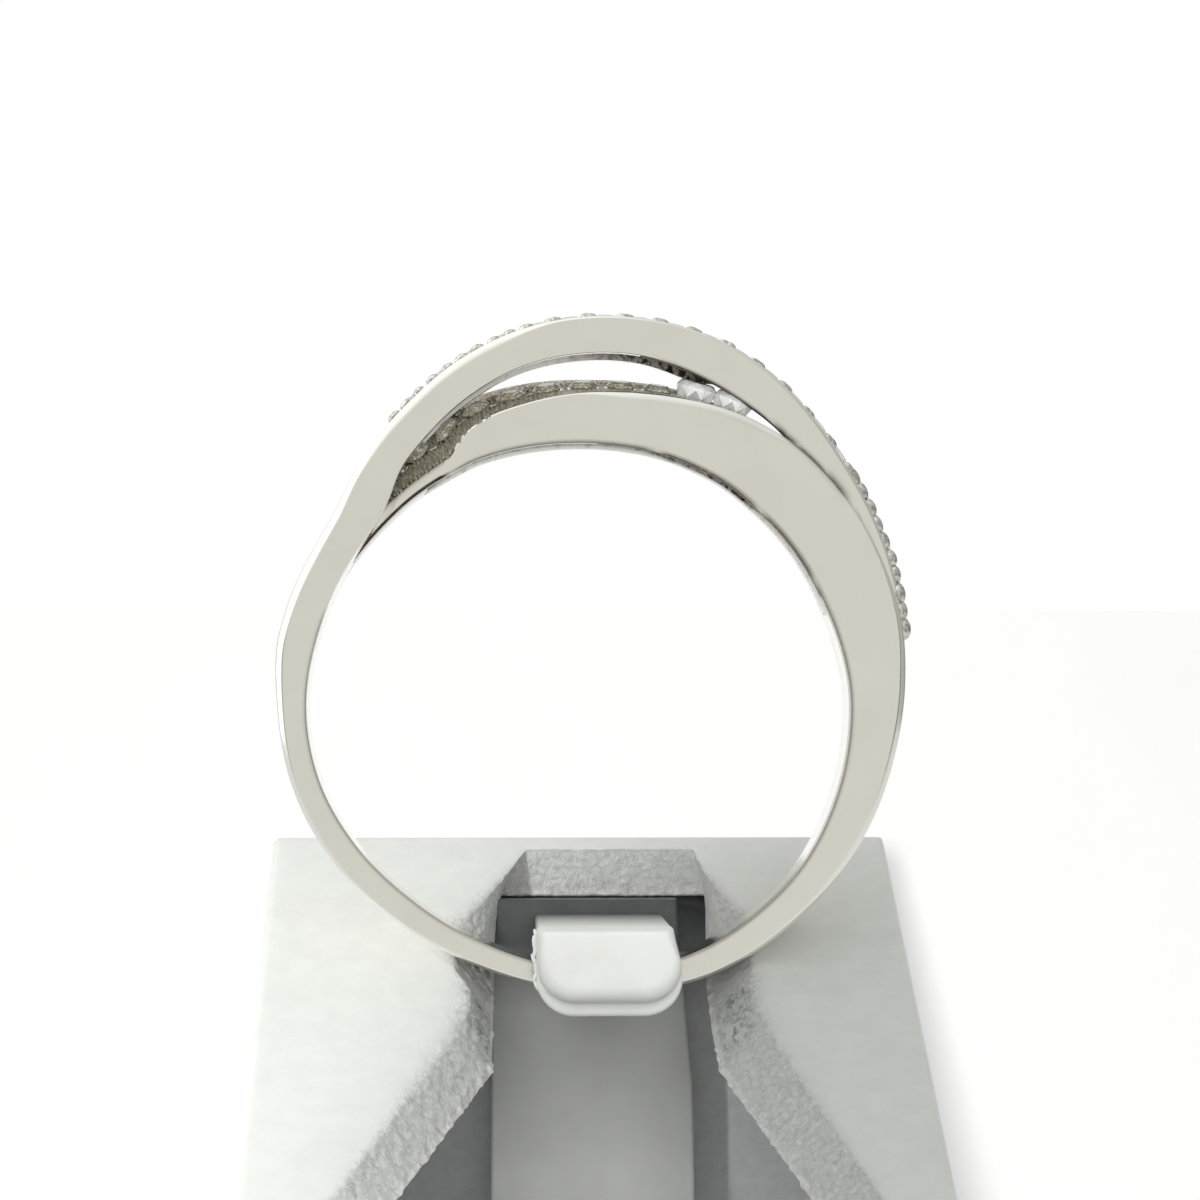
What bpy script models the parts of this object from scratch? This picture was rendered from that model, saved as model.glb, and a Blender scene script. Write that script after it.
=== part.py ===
"""Crossover sapphire ring held upright by a plain clip stand.

Metres, +Z up. The finger hole's axis runs along Y, and the ring's centre is the
centre of the working frame. At the end the whole object is moved so that the
middle of its footprint stands on the origin.
"""
import math
from collections import namedtuple

import bmesh
import bpy
import numpy as np
from mathutils import Matrix, Vector

MM = 0.001

# Ring: step between the sections of a ribbon, and how many corner points each has
SECTION_STEP = 4.0
CORNER_POINTS = 2

# One row for each section of a ribbon. The angle is in degrees, counted from +X
# towards +Z, and the other columns are millimetres: the inner radius, the outer
# radius at the front edge and at the rear edge, where the front and rear faces
# lie along Y, and the radius of the two outer corners.
Section = namedtuple("Section", "angle inner outer_front outer_rear y_front y_rear corner")

# The upper ribbon runs from the foot of the ring up the left side, over the top
# in front, and down the right side behind the lower ribbon.
UPPER_RIBBON = [
    Section(272, 8.52, 9.27, 9.27, -1.50, 0.80, 0.12),
    Section(258, 8.34, 9.08, 9.08, -1.50, 0.80, 0.12),
    Section(245, 8.24, 9.02, 9.02, -1.50, 0.80, 0.12),
    Section(230, 8.27, 9.14, 9.14, -1.50, 0.80, 0.14),
    Section(212, 8.50, 9.42, 9.42, -1.50, 0.80, 0.18),
    Section(197, 8.72, 9.62, 9.62, -1.50, 0.80, 0.24),
    Section(180, 8.81, 9.77, 9.77, -1.50, 0.80, 0.32),
    Section(166, 8.74, 10.00, 10.00, -1.50, 0.80, 0.40),
    Section(155, 8.72, 10.00, 10.00, -1.50, 0.75, 0.42),
    Section(143, 8.74, 10.08, 10.10, -1.50, 0.70, 0.38),
    Section(133, 9.06, 10.56, 10.56, -1.50, 0.70, 0.32),
    Section(127, 9.58, 10.86, 10.86, -1.50, 0.70, 0.28),
    Section(120, 10.00, 11.22, 11.22, -1.50, 0.75, 0.22),
    Section(110, 10.60, 11.80, 11.80, -1.50, 0.80, 0.16),
    Section(100, 11.10, 12.28, 12.28, -1.50, 0.90, 0.12),
    Section(90, 11.38, 12.58, 12.58, -1.50, 1.05, 0.12),
    Section(80, 11.50, 12.72, 12.72, -1.45, 1.25, 0.12),
    Section(72, 11.40, 12.74, 12.76, -1.30, 1.45, 0.12),
    Section(62, 11.22, 12.56, 12.60, -1.10, 1.60, 0.12),
    Section(51, 10.97, 12.12, 12.22, -0.85, 1.70, 0.12),
    Section(42, 10.30, 11.76, 11.92, -0.60, 1.65, 0.12),
    Section(31, 9.20, 11.44, 11.60, -0.40, 1.55, 0.12),
    Section(22, 8.78, 11.20, 11.34, -0.35, 1.40, 0.12),
    Section(14, 8.70, 10.98, 11.06, -0.35, 1.25, 0.14),
    Section(6, 8.78, 10.72, 10.76, -0.35, 1.10, 0.20),
    Section(-2, 8.86, 10.48, 10.48, -0.35, 0.95, 0.26),
    Section(-12, 8.90, 10.12, 10.12, -0.40, 0.78, 0.26),
    Section(-25, 9.00, 9.80, 9.80, -0.60, 0.55, 0.20),
]

# The lower ribbon runs from the foot up the right side, over the top under the
# upper ribbon, and down the left side behind it. Its first rows lie a little
# inside the upper ribbon's, which holds its end.
LOWER_RIBBON = [
    Section(-93, 8.60, 9.18, 9.18, -1.42, 0.72, 0.12),
    Section(-88, 8.55, 9.24, 9.24, -1.47, 0.77, 0.12),
    Section(-76, 8.68, 9.48, 9.48, -1.50, 0.80, 0.12),
    Section(-63, 8.80, 9.71, 9.71, -1.50, 0.80, 0.14),
    Section(-50, 8.82, 9.84, 9.84, -1.50, 0.80, 0.18),
    Section(-36, 8.86, 9.99, 9.99, -1.50, 0.80, 0.22),
    Section(-22, 8.82, 10.20, 10.20, -1.50, 0.80, 0.26),
    Section(-8, 8.79, 10.38, 10.38, -1.50, 0.80, 0.28),
    Section(4, 8.76, 10.61, 10.61, -1.50, 0.75, 0.28),
    Section(14, 8.66, 10.80, 10.80, -1.50, 0.70, 0.22),
    Section(24, 8.58, 10.88, 10.88, -1.50, 0.65, 0.14),
    Section(36, 8.57, 10.96, 10.96, -1.50, 0.60, 0.10),
    Section(48, 8.56, 10.99, 10.97, -1.50, 0.75, 0.10),
    Section(57, 8.60, 10.87, 10.98, -1.50, 0.90, 0.10),
    Section(64, 8.58, 10.72, 11.00, -1.50, 1.00, 0.10),
    Section(72, 8.56, 10.49, 10.98, -1.50, 1.10, 0.10),
    Section(82, 8.50, 10.26, 10.86, -1.50, 1.20, 0.10),
    Section(90, 8.48, 10.13, 10.80, -1.50, 1.30, 0.10),
    Section(100, 8.51, 9.94, 10.82, -1.50, 1.45, 0.10),
    Section(109, 8.57, 9.76, 10.82, -1.42, 1.60, 0.10),
    Section(114, 8.60, 9.50, 10.79, -1.32, 1.68, 0.08),
    Section(118, 8.58, 9.10, 10.74, -1.20, 1.75, 0.06),
    Section(128, 8.62, 9.08, 10.58, -0.80, 1.80, 0.06),
    Section(138, 8.65, 9.10, 10.34, -0.35, 1.75, 0.06),
    Section(150, 8.74, 9.24, 10.02, -0.10, 1.50, 0.10),
    Section(166, 8.84, 9.36, 9.80, -0.10, 1.10, 0.10),
    Section(184, 8.98, 9.36, 9.42, -0.30, 0.60, 0.10),
]

# Hollow under each ribbon: its ends, the side walls and the plate that holds the stones
UPPER_HOLLOW = (52.0, 118.0)
LOWER_HOLLOW = (20.0, 126.0)
RIB_WALL = 0.38 * MM
PLATE = 0.62 * MM
HOLLOW_REACH = 0.40 * MM

# Stones: a row along each ribbon, given by its two end angles and its count
UPPER_ROW = (118.5, 15.0, 20)
LOWER_ROW = (144.0, 63.0, 13)
STONE_RADIUS = 0.50 * MM
TABLE_RADIUS = 0.30 * MM
TABLE_HEIGHT = 0.15 * MM
GIRDLE_HALF = 0.015 * MM
CULET_DEPTH = 0.40 * MM
STONE_SIDES = 8
SEAT_GAP = 0.05 * MM
SEAT_DRILL = 0.20 * MM
SEAT_DEPTH = 0.90 * MM
SEAT_HEADROOM = 0.15 * MM
RAISED_STONES = 2
RAISED_BY = 0.20 * MM

# Beads: grains of metal raised between neighbouring stones, on both edges of a row
BEAD_RADIUS = 0.24 * MM
BEAD_ASIDE = 0.57 * MM
BEAD_RAISED = 0.06 * MM
BEAD_SIDES = 7
BEAD_BANDS = 4

# Clip stand: a hollow wedge with a sloping face
STAND_LEFT = -10.3 * MM
STAND_RIGHT = 10.7 * MM
STAND_BACK = 5.55 * MM
STAND_FRONT = -19.0 * MM
STAND_FLOOR = -21.6 * MM
STAND_WALL = 1.2 * MM
BACK_WALL = 1.0 * MM
FACE_THICKNESS = 1.25 * MM
FACE_ANGLE = math.radians(30.0)
FACE_Y = -1.5 * MM
FACE_Z = -8.5 * MM
EDGE_ROUND = 0.3 * MM

# The keyhole cut in the face, in millimetres: each outline runs from the top of the
# slot down its left side, and back up its right side. The rim lies on the face, and
# the edge lies under it, where the sloping walls of the cut end.
Corner = namedtuple("Corner", "x y")
SLOT_RIM = [
    Corner(-1.66, 4.74), Corner(-2.60, 2.95), Corner(-4.05, 0.40), Corner(-4.00, -1.40),
    Corner(-3.50, -2.30), Corner(-3.50, -3.20), Corner(-4.00, -4.60), Corner(-9.00, -14.60),
    Corner(9.65, -14.60), Corner(6.06, -5.30), Corner(5.39, -3.00), Corner(5.39, -2.20),
    Corner(5.55, -0.80), Corner(5.56, 0.90), Corner(4.32, 3.50), Corner(4.06, 4.74),
]
SLOT_EDGE = [
    Corner(-2.68, 4.50), Corner(-2.70, 2.90), Corner(-2.74, 0.40), Corner(-2.78, -1.40),
    Corner(-2.80, -2.40), Corner(-2.82, -3.20), Corner(-2.86, -4.27), Corner(-7.90, -13.80),
    Corner(8.42, -13.80), Corner(4.30, -4.14), Corner(4.24, -3.00), Corner(4.20, -2.20),
    Corner(4.18, -0.80), Corner(4.22, 0.90), Corner(4.40, 3.50), Corner(4.50, 4.50),
]

# Clip: a strip that stands inside the wedge, with a hook over the foot of the ring
STRIP_LEFT = -2.85 * MM
STRIP_RIGHT = 4.00 * MM
NECK_LEFT = -2.45 * MM
NECK_RIGHT = 3.85 * MM
STRIP_SHOULDER = -7.75 * MM
STRIP_FRONT = 3.05 * MM
STRIP_BACK = 3.90 * MM
STRIP_TOP = -6.40 * MM
HOOK_LEFT = -1.43 * MM
HOOK_RIGHT = 3.00 * MM
ARM_TOP = -7.00 * MM
ARM_BOTTOM = -7.95 * MM
TAB_FRONT = -4.00 * MM
TAB_BACK = -2.90 * MM
TAB_BOTTOM = -9.84 * MM
TAB_LEAN = 0.25 * MM
TAB_ROUND = 1.20 * MM
CLEARANCE = 0.30 * MM

OBJECT_NAME = "sapphire_ring_on_clip_stand"
CUTTERS_NAME = "cutters"


def clear_scene():
    """Remove every object that the open file holds."""
    for old in list(bpy.data.objects):
        bpy.data.objects.remove(old, do_unlink=True)


def make_collection(name):
    """Return a new collection linked to the scene."""
    collection = bpy.data.collections.new(name)
    bpy.context.scene.collection.children.link(collection)
    return collection


def make_material(name, color, roughness, metallic):
    """Return a Principled material of one colour."""
    material = bpy.data.materials.new(name)
    material.use_nodes = True
    shader = material.node_tree.nodes["Principled BSDF"]
    shader.inputs["Base Color"].default_value = (*color, 1.0)
    shader.inputs["Roughness"].default_value = roughness
    shader.inputs["Metallic"].default_value = metallic
    material.diffuse_color = (*color, 1.0)
    return material


def object_from_bmesh(name, shape, collection):
    """Turn a bmesh into an object whose faces point out."""
    bmesh.ops.recalc_face_normals(shape, faces=shape.faces)
    mesh = bpy.data.meshes.new(name)
    shape.to_mesh(mesh)
    shape.free()
    made = bpy.data.objects.new(name, mesh)
    collection.objects.link(made)
    return made


def mark_cutter(made):
    """Move a cutter to the cutters' collection, shown as wire and kept out of renders."""
    for collection in list(made.users_collection):
        collection.objects.unlink(made)
    bpy.data.collections[CUTTERS_NAME].objects.link(made)
    made.hide_render = True
    made.display_type = "WIRE"


def apply_boolean(target, tool, operation):
    """Apply one exact Boolean to target and remove the tool."""
    mark_cutter(tool)
    modifier = target.modifiers.new(operation.lower(), "BOOLEAN")
    modifier.operation = operation
    modifier.solver = "EXACT"
    modifier.object = tool
    graph = bpy.context.evaluated_depsgraph_get()
    result = bpy.data.meshes.new_from_object(target.evaluated_get(graph))
    target.modifiers.remove(modifier)
    target.data = result
    bpy.data.objects.remove(tool, do_unlink=True)


def loft(name, rings, collection):
    """Join closed rings of points, all of one length, into a capped solid."""
    shape = bmesh.new()
    loops = [[shape.verts.new(point) for point in ring] for ring in rings]
    count = len(rings[0])
    for first, second in zip(loops, loops[1:]):
        for index in range(count):
            following = (index + 1) % count
            shape.faces.new((first[index], first[following], second[following], second[index]))
    shape.faces.new(loops[0])
    shape.faces.new(loops[-1])
    bmesh.ops.triangulate(shape, faces=[face for face in shape.faces if len(face.verts) > 4])
    return object_from_bmesh(name, shape, collection)


def plate(name, outline, thickness, matrix, collection):
    """Make a flat outline into a solid plate, centred on the outline's plane."""
    curve = bpy.data.curves.new(name, "CURVE")
    curve.dimensions = "2D"
    curve.fill_mode = "BOTH"
    curve.extrude = thickness / 2
    spline = curve.splines.new("POLY")
    spline.points.add(len(outline) - 1)
    for point, (across, up) in zip(spline.points, outline):
        point.co = (across, up, 0.0, 1.0)
    spline.use_cyclic_u = True
    drawn = bpy.data.objects.new(name + "_outline", curve)
    collection.objects.link(drawn)
    drawn.matrix_world = matrix
    graph = bpy.context.evaluated_depsgraph_get()
    graph.update()
    mesh = bpy.data.meshes.new_from_object(drawn.evaluated_get(graph))
    shape = bmesh.new()
    shape.from_mesh(mesh)
    bmesh.ops.remove_doubles(shape, verts=shape.verts, dist=0.00001)
    bmesh.ops.transform(shape, matrix=matrix, verts=shape.verts)
    bpy.data.objects.remove(drawn, do_unlink=True)
    return object_from_bmesh(name, shape, collection)


def box(name, low, high, collection):
    """Make a box between two corners."""
    shape = bmesh.new()
    middle = (Vector(low) + Vector(high)) / 2
    size = Vector(high) - Vector(low)
    bmesh.ops.create_cube(shape, size=1.0, matrix=Matrix.LocRotScale(middle, None, size))
    return object_from_bmesh(name, shape, collection)


def slopes(angles, values):
    """Return the slope at each row, level at a peak or dip so that nothing overshoots."""
    steps = np.diff(values) / np.diff(angles)
    middle = (steps[:-1] + steps[1:]) / 2
    limit = 3 * np.minimum(np.abs(steps[:-1]), np.abs(steps[1:]))
    middle = np.where(steps[:-1] * steps[1:] > 0, np.clip(middle, -limit, limit), 0.0)
    return np.concatenate(([steps[0]], middle, [steps[-1]]))


def section_at(ribbon, angle):
    """Return the ribbon's section at an angle, with its sizes in metres."""
    rows = sorted(ribbon)
    angles = np.array([row.angle for row in rows], dtype=float)
    index = int(np.clip(np.searchsorted(angles, angle) - 1, 0, len(rows) - 2))
    span = angles[index + 1] - angles[index]
    t = (angle - angles[index]) / span
    sizes = []
    for column in range(1, len(Section._fields)):
        values = np.array([row[column] for row in rows])
        slope = slopes(angles, values)
        start = (1 + 2 * t) * (1 - t) ** 2 * values[index]
        end = t * t * (3 - 2 * t) * values[index + 1]
        leaving = t * (1 - t) ** 2 * span * slope[index]
        arriving = t * t * (t - 1) * span * slope[index + 1]
        sizes.append(float(start + end + leaving + arriving) * MM)
    return Section(angle, *sizes)


def ring_point(angle, y, radius):
    """Place a point by its angle round the finger hole."""
    turn = math.radians(angle)
    return Vector((radius * math.cos(turn), y, radius * math.sin(turn)))


def angles_between(first, last):
    """Return evenly spaced section angles from first to last."""
    count = max(1, round(abs(last - first) / SECTION_STEP))
    return [first + (last - first) * index / count for index in range(count + 1)]


def corner(y, radius, side, size):
    """Return the points of one rounded outer corner, in (y, radius)."""
    points = []
    for index in range(CORNER_POINTS + 1):
        turn = math.radians(90.0 * index / CORNER_POINTS)
        points.append((y - side * size * (1 - math.sin(turn)), radius - size * (1 - math.cos(turn))))
    return points


def ribbon_ring(ribbon, angle):
    """Return the outline of a ribbon's section at an angle."""
    cut = section_at(ribbon, angle)
    front = corner(cut.y_front, cut.outer_front, -1, cut.corner)
    rear = corner(cut.y_rear, cut.outer_rear, 1, cut.corner)
    outline = [(cut.y_front, cut.inner)] + front[::-1] + rear + [(cut.y_rear, cut.inner)]
    return [ring_point(angle, y, radius) for y, radius in outline]


def hollow_ring(ribbon, angle):
    """Return the outline of the hollow under a ribbon at an angle."""
    cut = section_at(ribbon, angle)
    front, rear = cut.y_front + RIB_WALL, cut.y_rear - RIB_WALL
    low = cut.inner - HOLLOW_REACH
    roof = min(cut.outer_front, cut.outer_rear) - PLATE
    rise = cut.outer_rear - cut.outer_front
    roof_rear = roof + max(0.0, rise) * 0.8
    outline = [(front, low), (front, roof), (rear, roof_rear), (rear, low)]
    return [ring_point(angle, y, radius) for y, radius in outline]


def make_ribbon(name, ribbon, hollow, collection):
    """Make one ribbon and hollow it out from the finger side."""
    ends = (ribbon[0].angle, ribbon[-1].angle)
    made = loft(name, [ribbon_ring(ribbon, angle) for angle in angles_between(*ends)], collection)
    tool = loft(name + "_hollow", [hollow_ring(ribbon, angle) for angle in angles_between(*hollow)],
                collection)
    apply_boolean(made, tool, "DIFFERENCE")
    return made


def row_middle(ribbon, angle):
    """Return the point halfway across a ribbon's outer surface."""
    cut = section_at(ribbon, angle)
    front = ring_point(angle, cut.y_front, cut.outer_front)
    rear = ring_point(angle, cut.y_rear, cut.outer_rear)
    return (front + rear) / 2


def row_frame(ribbon, angle):
    """Return a matrix at the outer surface: X along the row, Y across it, Z outward."""
    cut = section_at(ribbon, angle)
    front = ring_point(angle, cut.y_front, cut.outer_front)
    rear = ring_point(angle, cut.y_rear, cut.outer_rear)
    along = (row_middle(ribbon, angle - 0.5) - row_middle(ribbon, angle + 0.5)).normalized()
    across = (rear - front).normalized()
    outward = along.cross(across).normalized()
    if outward.dot(front) < 0:
        outward = -outward
    across = outward.cross(along).normalized()
    turn = Matrix((along, across, outward)).transposed().to_4x4()
    return Matrix.Translation((front + rear) / 2) @ turn


def row_angles(ribbon, row):
    """Return the angles that part a row into equal steps, one for each stone."""
    first, last, count = row
    fine = np.linspace(first, last, 400)
    places = [row_middle(ribbon, angle) for angle in fine]
    lengths = np.cumsum([0.0] + [(b - a).length for a, b in zip(places, places[1:])])
    return list(np.interp(np.linspace(0.0, lengths[-1], count), lengths, fine))


def turned(shape, profile, sides, matrix):
    """Add a turned solid with flat sides to a bmesh, from a (radius, height) profile."""
    rings = []
    for radius, height in profile:
        ring = []
        for index in range(sides):
            turn = 2 * math.pi * (index + 0.5) / sides
            place = Vector((radius * math.cos(turn), radius * math.sin(turn), height))
            ring.append(shape.verts.new(matrix @ place))
        rings.append(ring)
    for first, second in zip(rings, rings[1:]):
        for index in range(sides):
            following = (index + 1) % sides
            shape.faces.new((first[index], first[following], second[following], second[index]))
    shape.faces.new(rings[0])
    shape.faces.new(rings[-1])


def cut_stone(name, matrix, collection):
    """Make one round stone: a table, a crown, a girdle and a pavilion of eight sides."""
    shape = bmesh.new()
    profile = [
        (STONE_RADIUS * 0.06, -CULET_DEPTH),
        (STONE_RADIUS, -GIRDLE_HALF),
        (STONE_RADIUS, GIRDLE_HALF),
        (TABLE_RADIUS, TABLE_HEIGHT),
    ]
    turned(shape, profile, STONE_SIDES, matrix)
    return object_from_bmesh(name, shape, collection)


def seat_profile():
    """Return the seat's profile: a cone a little larger than the stone's, drilled and open above."""
    wide = STONE_RADIUS + SEAT_GAP
    return [
        (SEAT_DRILL, -SEAT_DEPTH),
        (SEAT_DRILL, -CULET_DEPTH + SEAT_DRILL * 0.4),
        (wide, -GIRDLE_HALF - SEAT_GAP),
        (wide, TABLE_HEIGHT + SEAT_HEADROOM),
    ]


def stone_frames(ribbon, row, raised):
    """Return the frame of each stone of a row, the last ones lifted by a step."""
    frames = []
    angles = row_angles(ribbon, row)
    for index, angle in enumerate(angles):
        lift = RAISED_BY if index >= len(angles) - raised else 0.0
        frames.append(row_frame(ribbon, angle) @ Matrix.Translation((0, 0, lift)))
    return frames


def add_beads(shape, ribbon, row):
    """Add the beads of a row to a bmesh: one pair for each gap and for both ends."""
    angles = row_angles(ribbon, row)
    step = angles[1] - angles[0]
    edges = [angles[0] - step] + angles + [2 * angles[-1] - angles[-2]]
    for before, after in zip(edges, edges[1:]):
        frame = row_frame(ribbon, (before + after) / 2)
        for side in (-1, 1):
            place = Matrix.Translation((0, side * BEAD_ASIDE, BEAD_RAISED))
            bmesh.ops.create_uvsphere(shape, u_segments=BEAD_SIDES, v_segments=BEAD_BANDS, radius=BEAD_RADIUS,
                                      matrix=frame @ place)


def make_ring_band(collection, upper_frames, lower_frames):
    """Make the metal of the ring: both ribbons, the beads and the stone seats."""
    band = make_ribbon("ring_band", UPPER_RIBBON, UPPER_HOLLOW, collection)
    lower = make_ribbon("lower_ribbon", LOWER_RIBBON, LOWER_HOLLOW, collection)
    apply_boolean(band, lower, "UNION")
    grains = bmesh.new()
    add_beads(grains, UPPER_RIBBON, UPPER_ROW)
    add_beads(grains, LOWER_RIBBON, LOWER_ROW)
    apply_boolean(band, object_from_bmesh("beads", grains, collection), "UNION")
    seats = bmesh.new()
    for frame in upper_frames + lower_frames:
        turned(seats, seat_profile(), STONE_SIDES, frame)
    apply_boolean(band, object_from_bmesh("seats", seats, collection), "DIFFERENCE")
    return band


def make_stones(prefix, frames, collection):
    """Make the stones of a row, each an object of its own."""
    return [cut_stone(f"{prefix}_stone_{index:02d}", frame, collection)
            for index, frame in enumerate(frames, start=1)]


def face_height(y):
    """Return the height of the stand's sloping face at a depth."""
    return FACE_Z + math.tan(FACE_ANGLE) * (y - FACE_Y)


def extrude_side_view(name, outline, left, right, collection):
    """Extrude a (y, z) outline along X between two places."""
    across = Matrix(((0, 0, 1, (left + right) / 2), (1, 0, 0, 0), (0, 1, 0, 0), (0, 0, 0, 1)))
    return plate(name, outline, right - left, across, collection)


def keyhole_tool(collection):
    """Return the cutter for the keyhole, whose walls slope in from the rim to the edge."""
    drop = FACE_THICKNESS / math.cos(FACE_ANGLE)
    rise = 0.25 * MM
    rim = [Vector((x * MM, y * MM, face_height(y * MM))) for x, y in SLOT_RIM]
    edge = [Vector((x * MM, y * MM, face_height(y * MM) - drop)) for x, y in SLOT_EDGE]
    above = [a + (a - b) * rise / drop for a, b in zip(rim, edge)]
    below = [b + Vector((0, 0, -rise)) for b in edge]
    return loft("keyhole", [below, edge, rim, above], collection)


def ring_seat_tool(collection):
    """Return a cutter round the foot of the ring, a clearance larger than the band."""
    grown = []
    for angle in angles_between(205.0, 335.0):
        source, place = (UPPER_RIBBON, angle) if angle <= 270 else (LOWER_RIBBON, angle - 360)
        cut = section_at(source, place)
        low, high = cut.inner - CLEARANCE, cut.outer_front + CLEARANCE
        front, rear = cut.y_front - CLEARANCE, cut.y_rear + CLEARANCE
        outline = [(front, low), (front, high), (rear, high), (rear, low)]
        grown.append([ring_point(angle, y, radius) for y, radius in outline])
    return loft("ring_seat", grown, collection)


def round_edges(made, width, segments):
    """Round the sharp edges of a solid with an applied Bevel."""
    modifier = made.modifiers.new("round", "BEVEL")
    modifier.width = width
    modifier.segments = segments
    modifier.limit_method = "ANGLE"
    graph = bpy.context.evaluated_depsgraph_get()
    result = bpy.data.meshes.new_from_object(made.evaluated_get(graph))
    made.modifiers.remove(modifier)
    made.data = result


def make_stand(collection):
    """Make the hollow wedge with its keyhole and the seat for the ring."""
    outline = [
        (STAND_FRONT, STAND_FLOOR),
        (STAND_BACK, STAND_FLOOR),
        (STAND_BACK, face_height(STAND_BACK)),
        (STAND_FRONT, face_height(STAND_FRONT)),
    ]
    stand = extrude_side_view("stand_block", outline, STAND_LEFT, STAND_RIGHT, collection)
    round_edges(stand, EDGE_ROUND, 2)
    drop = FACE_THICKNESS / math.cos(FACE_ANGLE)
    inside_front = STAND_FRONT + STAND_WALL
    inside_back = STAND_BACK - BACK_WALL
    inside = [
        (inside_front, STAND_FLOOR + STAND_WALL),
        (inside_back, STAND_FLOOR + STAND_WALL),
        (inside_back, face_height(inside_back) - drop),
        (inside_front, face_height(inside_front) - drop),
    ]
    hollow = extrude_side_view("hollow", inside, STAND_LEFT + STAND_WALL,
                               STAND_RIGHT - STAND_WALL, collection)
    apply_boolean(stand, hollow, "DIFFERENCE")
    apply_boolean(stand, keyhole_tool(collection), "DIFFERENCE")
    apply_boolean(stand, ring_seat_tool(collection), "DIFFERENCE")
    return stand


def tab_outline():
    """Return the hook's tab seen from the front, with its two lower corners round."""
    points = [(HOOK_LEFT, ARM_TOP), (HOOK_RIGHT - TAB_LEAN, ARM_TOP)]
    centre_z = TAB_BOTTOM + TAB_ROUND
    for centre_x, first in ((HOOK_RIGHT - TAB_ROUND, 0), (HOOK_LEFT + TAB_ROUND, -90)):
        for index in range(7):
            turn = math.radians(first - 15 * index)
            points.append((centre_x + TAB_ROUND * math.cos(turn), centre_z + TAB_ROUND * math.sin(turn)))
    return points


def make_clip(collection):
    """Make the clip: a strip inside the stand, an arm over the band and a front tab."""
    strip_foot = STAND_FLOOR + STAND_WALL + CLEARANCE
    clip = box("clip", (STRIP_LEFT, STRIP_FRONT, strip_foot),
               (STRIP_RIGHT, STRIP_BACK, STRIP_SHOULDER), collection)
    overlap = 0.2 * MM
    neck = box("neck", (NECK_LEFT, STRIP_FRONT + overlap / 8, STRIP_SHOULDER - overlap),
               (NECK_RIGHT, STRIP_BACK - overlap / 8, STRIP_TOP), collection)
    arm = box("arm", (HOOK_LEFT + overlap / 4, TAB_BACK - overlap, ARM_BOTTOM),
              (HOOK_RIGHT - TAB_LEAN - overlap / 4, STRIP_FRONT + overlap, ARM_TOP - overlap / 4),
              collection)
    upright = Matrix(((1, 0, 0, 0), (0, 0, -1, (TAB_FRONT + TAB_BACK) / 2), (0, 1, 0, 0), (0, 0, 0, 1)))
    tab = plate("tab", tab_outline(), TAB_BACK - TAB_FRONT, upright, collection)
    apply_boolean(clip, neck, "UNION")
    apply_boolean(clip, arm, "UNION")
    apply_boolean(clip, tab, "UNION")
    return clip


def finish_object(made, material, smooth_angle, parent):
    """Give an object its material, its shading and its parent."""
    made.data.materials.clear()
    made.data.materials.append(material)
    made.data.shade_smooth()
    made.data.set_sharp_from_angle(angle=math.radians(smooth_angle))
    made.parent = parent


def stand_on_origin(parent, pieces):
    """Move the parent so that the object's footprint is centred on the origin."""
    corners = np.array([vertex.co[:] for piece in pieces for vertex in piece.data.vertices])
    low, high = corners.min(axis=0), corners.max(axis=0)
    parent.location = (-(low[0] + high[0]) / 2, -(low[1] + high[1]) / 2, -low[2])


def build():
    """Build the whole object."""
    clear_scene()
    parts = make_collection(OBJECT_NAME)
    make_collection(CUTTERS_NAME)
    silver = make_material("polished_silver", (0.80, 0.79, 0.75), 0.12, 1.0)
    sapphire = make_material("white_sapphire", (0.90, 0.92, 0.94), 0.02, 0.0)
    leatherette = make_material("white_leatherette", (0.86, 0.87, 0.85), 0.62, 0.0)
    plastic = make_material("white_plastic", (0.84, 0.85, 0.82), 0.35, 0.0)

    upper_frames = stone_frames(UPPER_RIBBON, UPPER_ROW, 0)
    lower_frames = stone_frames(LOWER_RIBBON, LOWER_ROW, RAISED_STONES)
    band = make_ring_band(parts, upper_frames, lower_frames)
    stones = make_stones("upper", upper_frames, parts) + make_stones("lower", lower_frames, parts)
    stand = make_stand(parts)
    clip = make_clip(parts)

    place = bpy.data.objects.new("object_origin", None)
    parts.objects.link(place)
    finish_object(band, silver, 40, place)
    for stone in stones:
        finish_object(stone, sapphire, 5, place)
    finish_object(stand, leatherette, 35, place)
    finish_object(clip, plastic, 35, place)
    stand_on_origin(place, [band, stand, clip] + stones)


build()
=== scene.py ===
"""Looks of the crossover ring and of the clip stand that holds it upright.

Lengths are millimetres in the ring's own frame unless a name says otherwise: the centre
of the finger hole is the origin, its axis runs along Y, +Z is up and the camera stands on
the -Y side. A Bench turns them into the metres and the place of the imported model.
"""

import logging
import math
from dataclasses import dataclass, field
from enum import Enum, IntEnum

import bmesh
import bpy
import numpy as np
from mathutils import Matrix, Vector, noise


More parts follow.
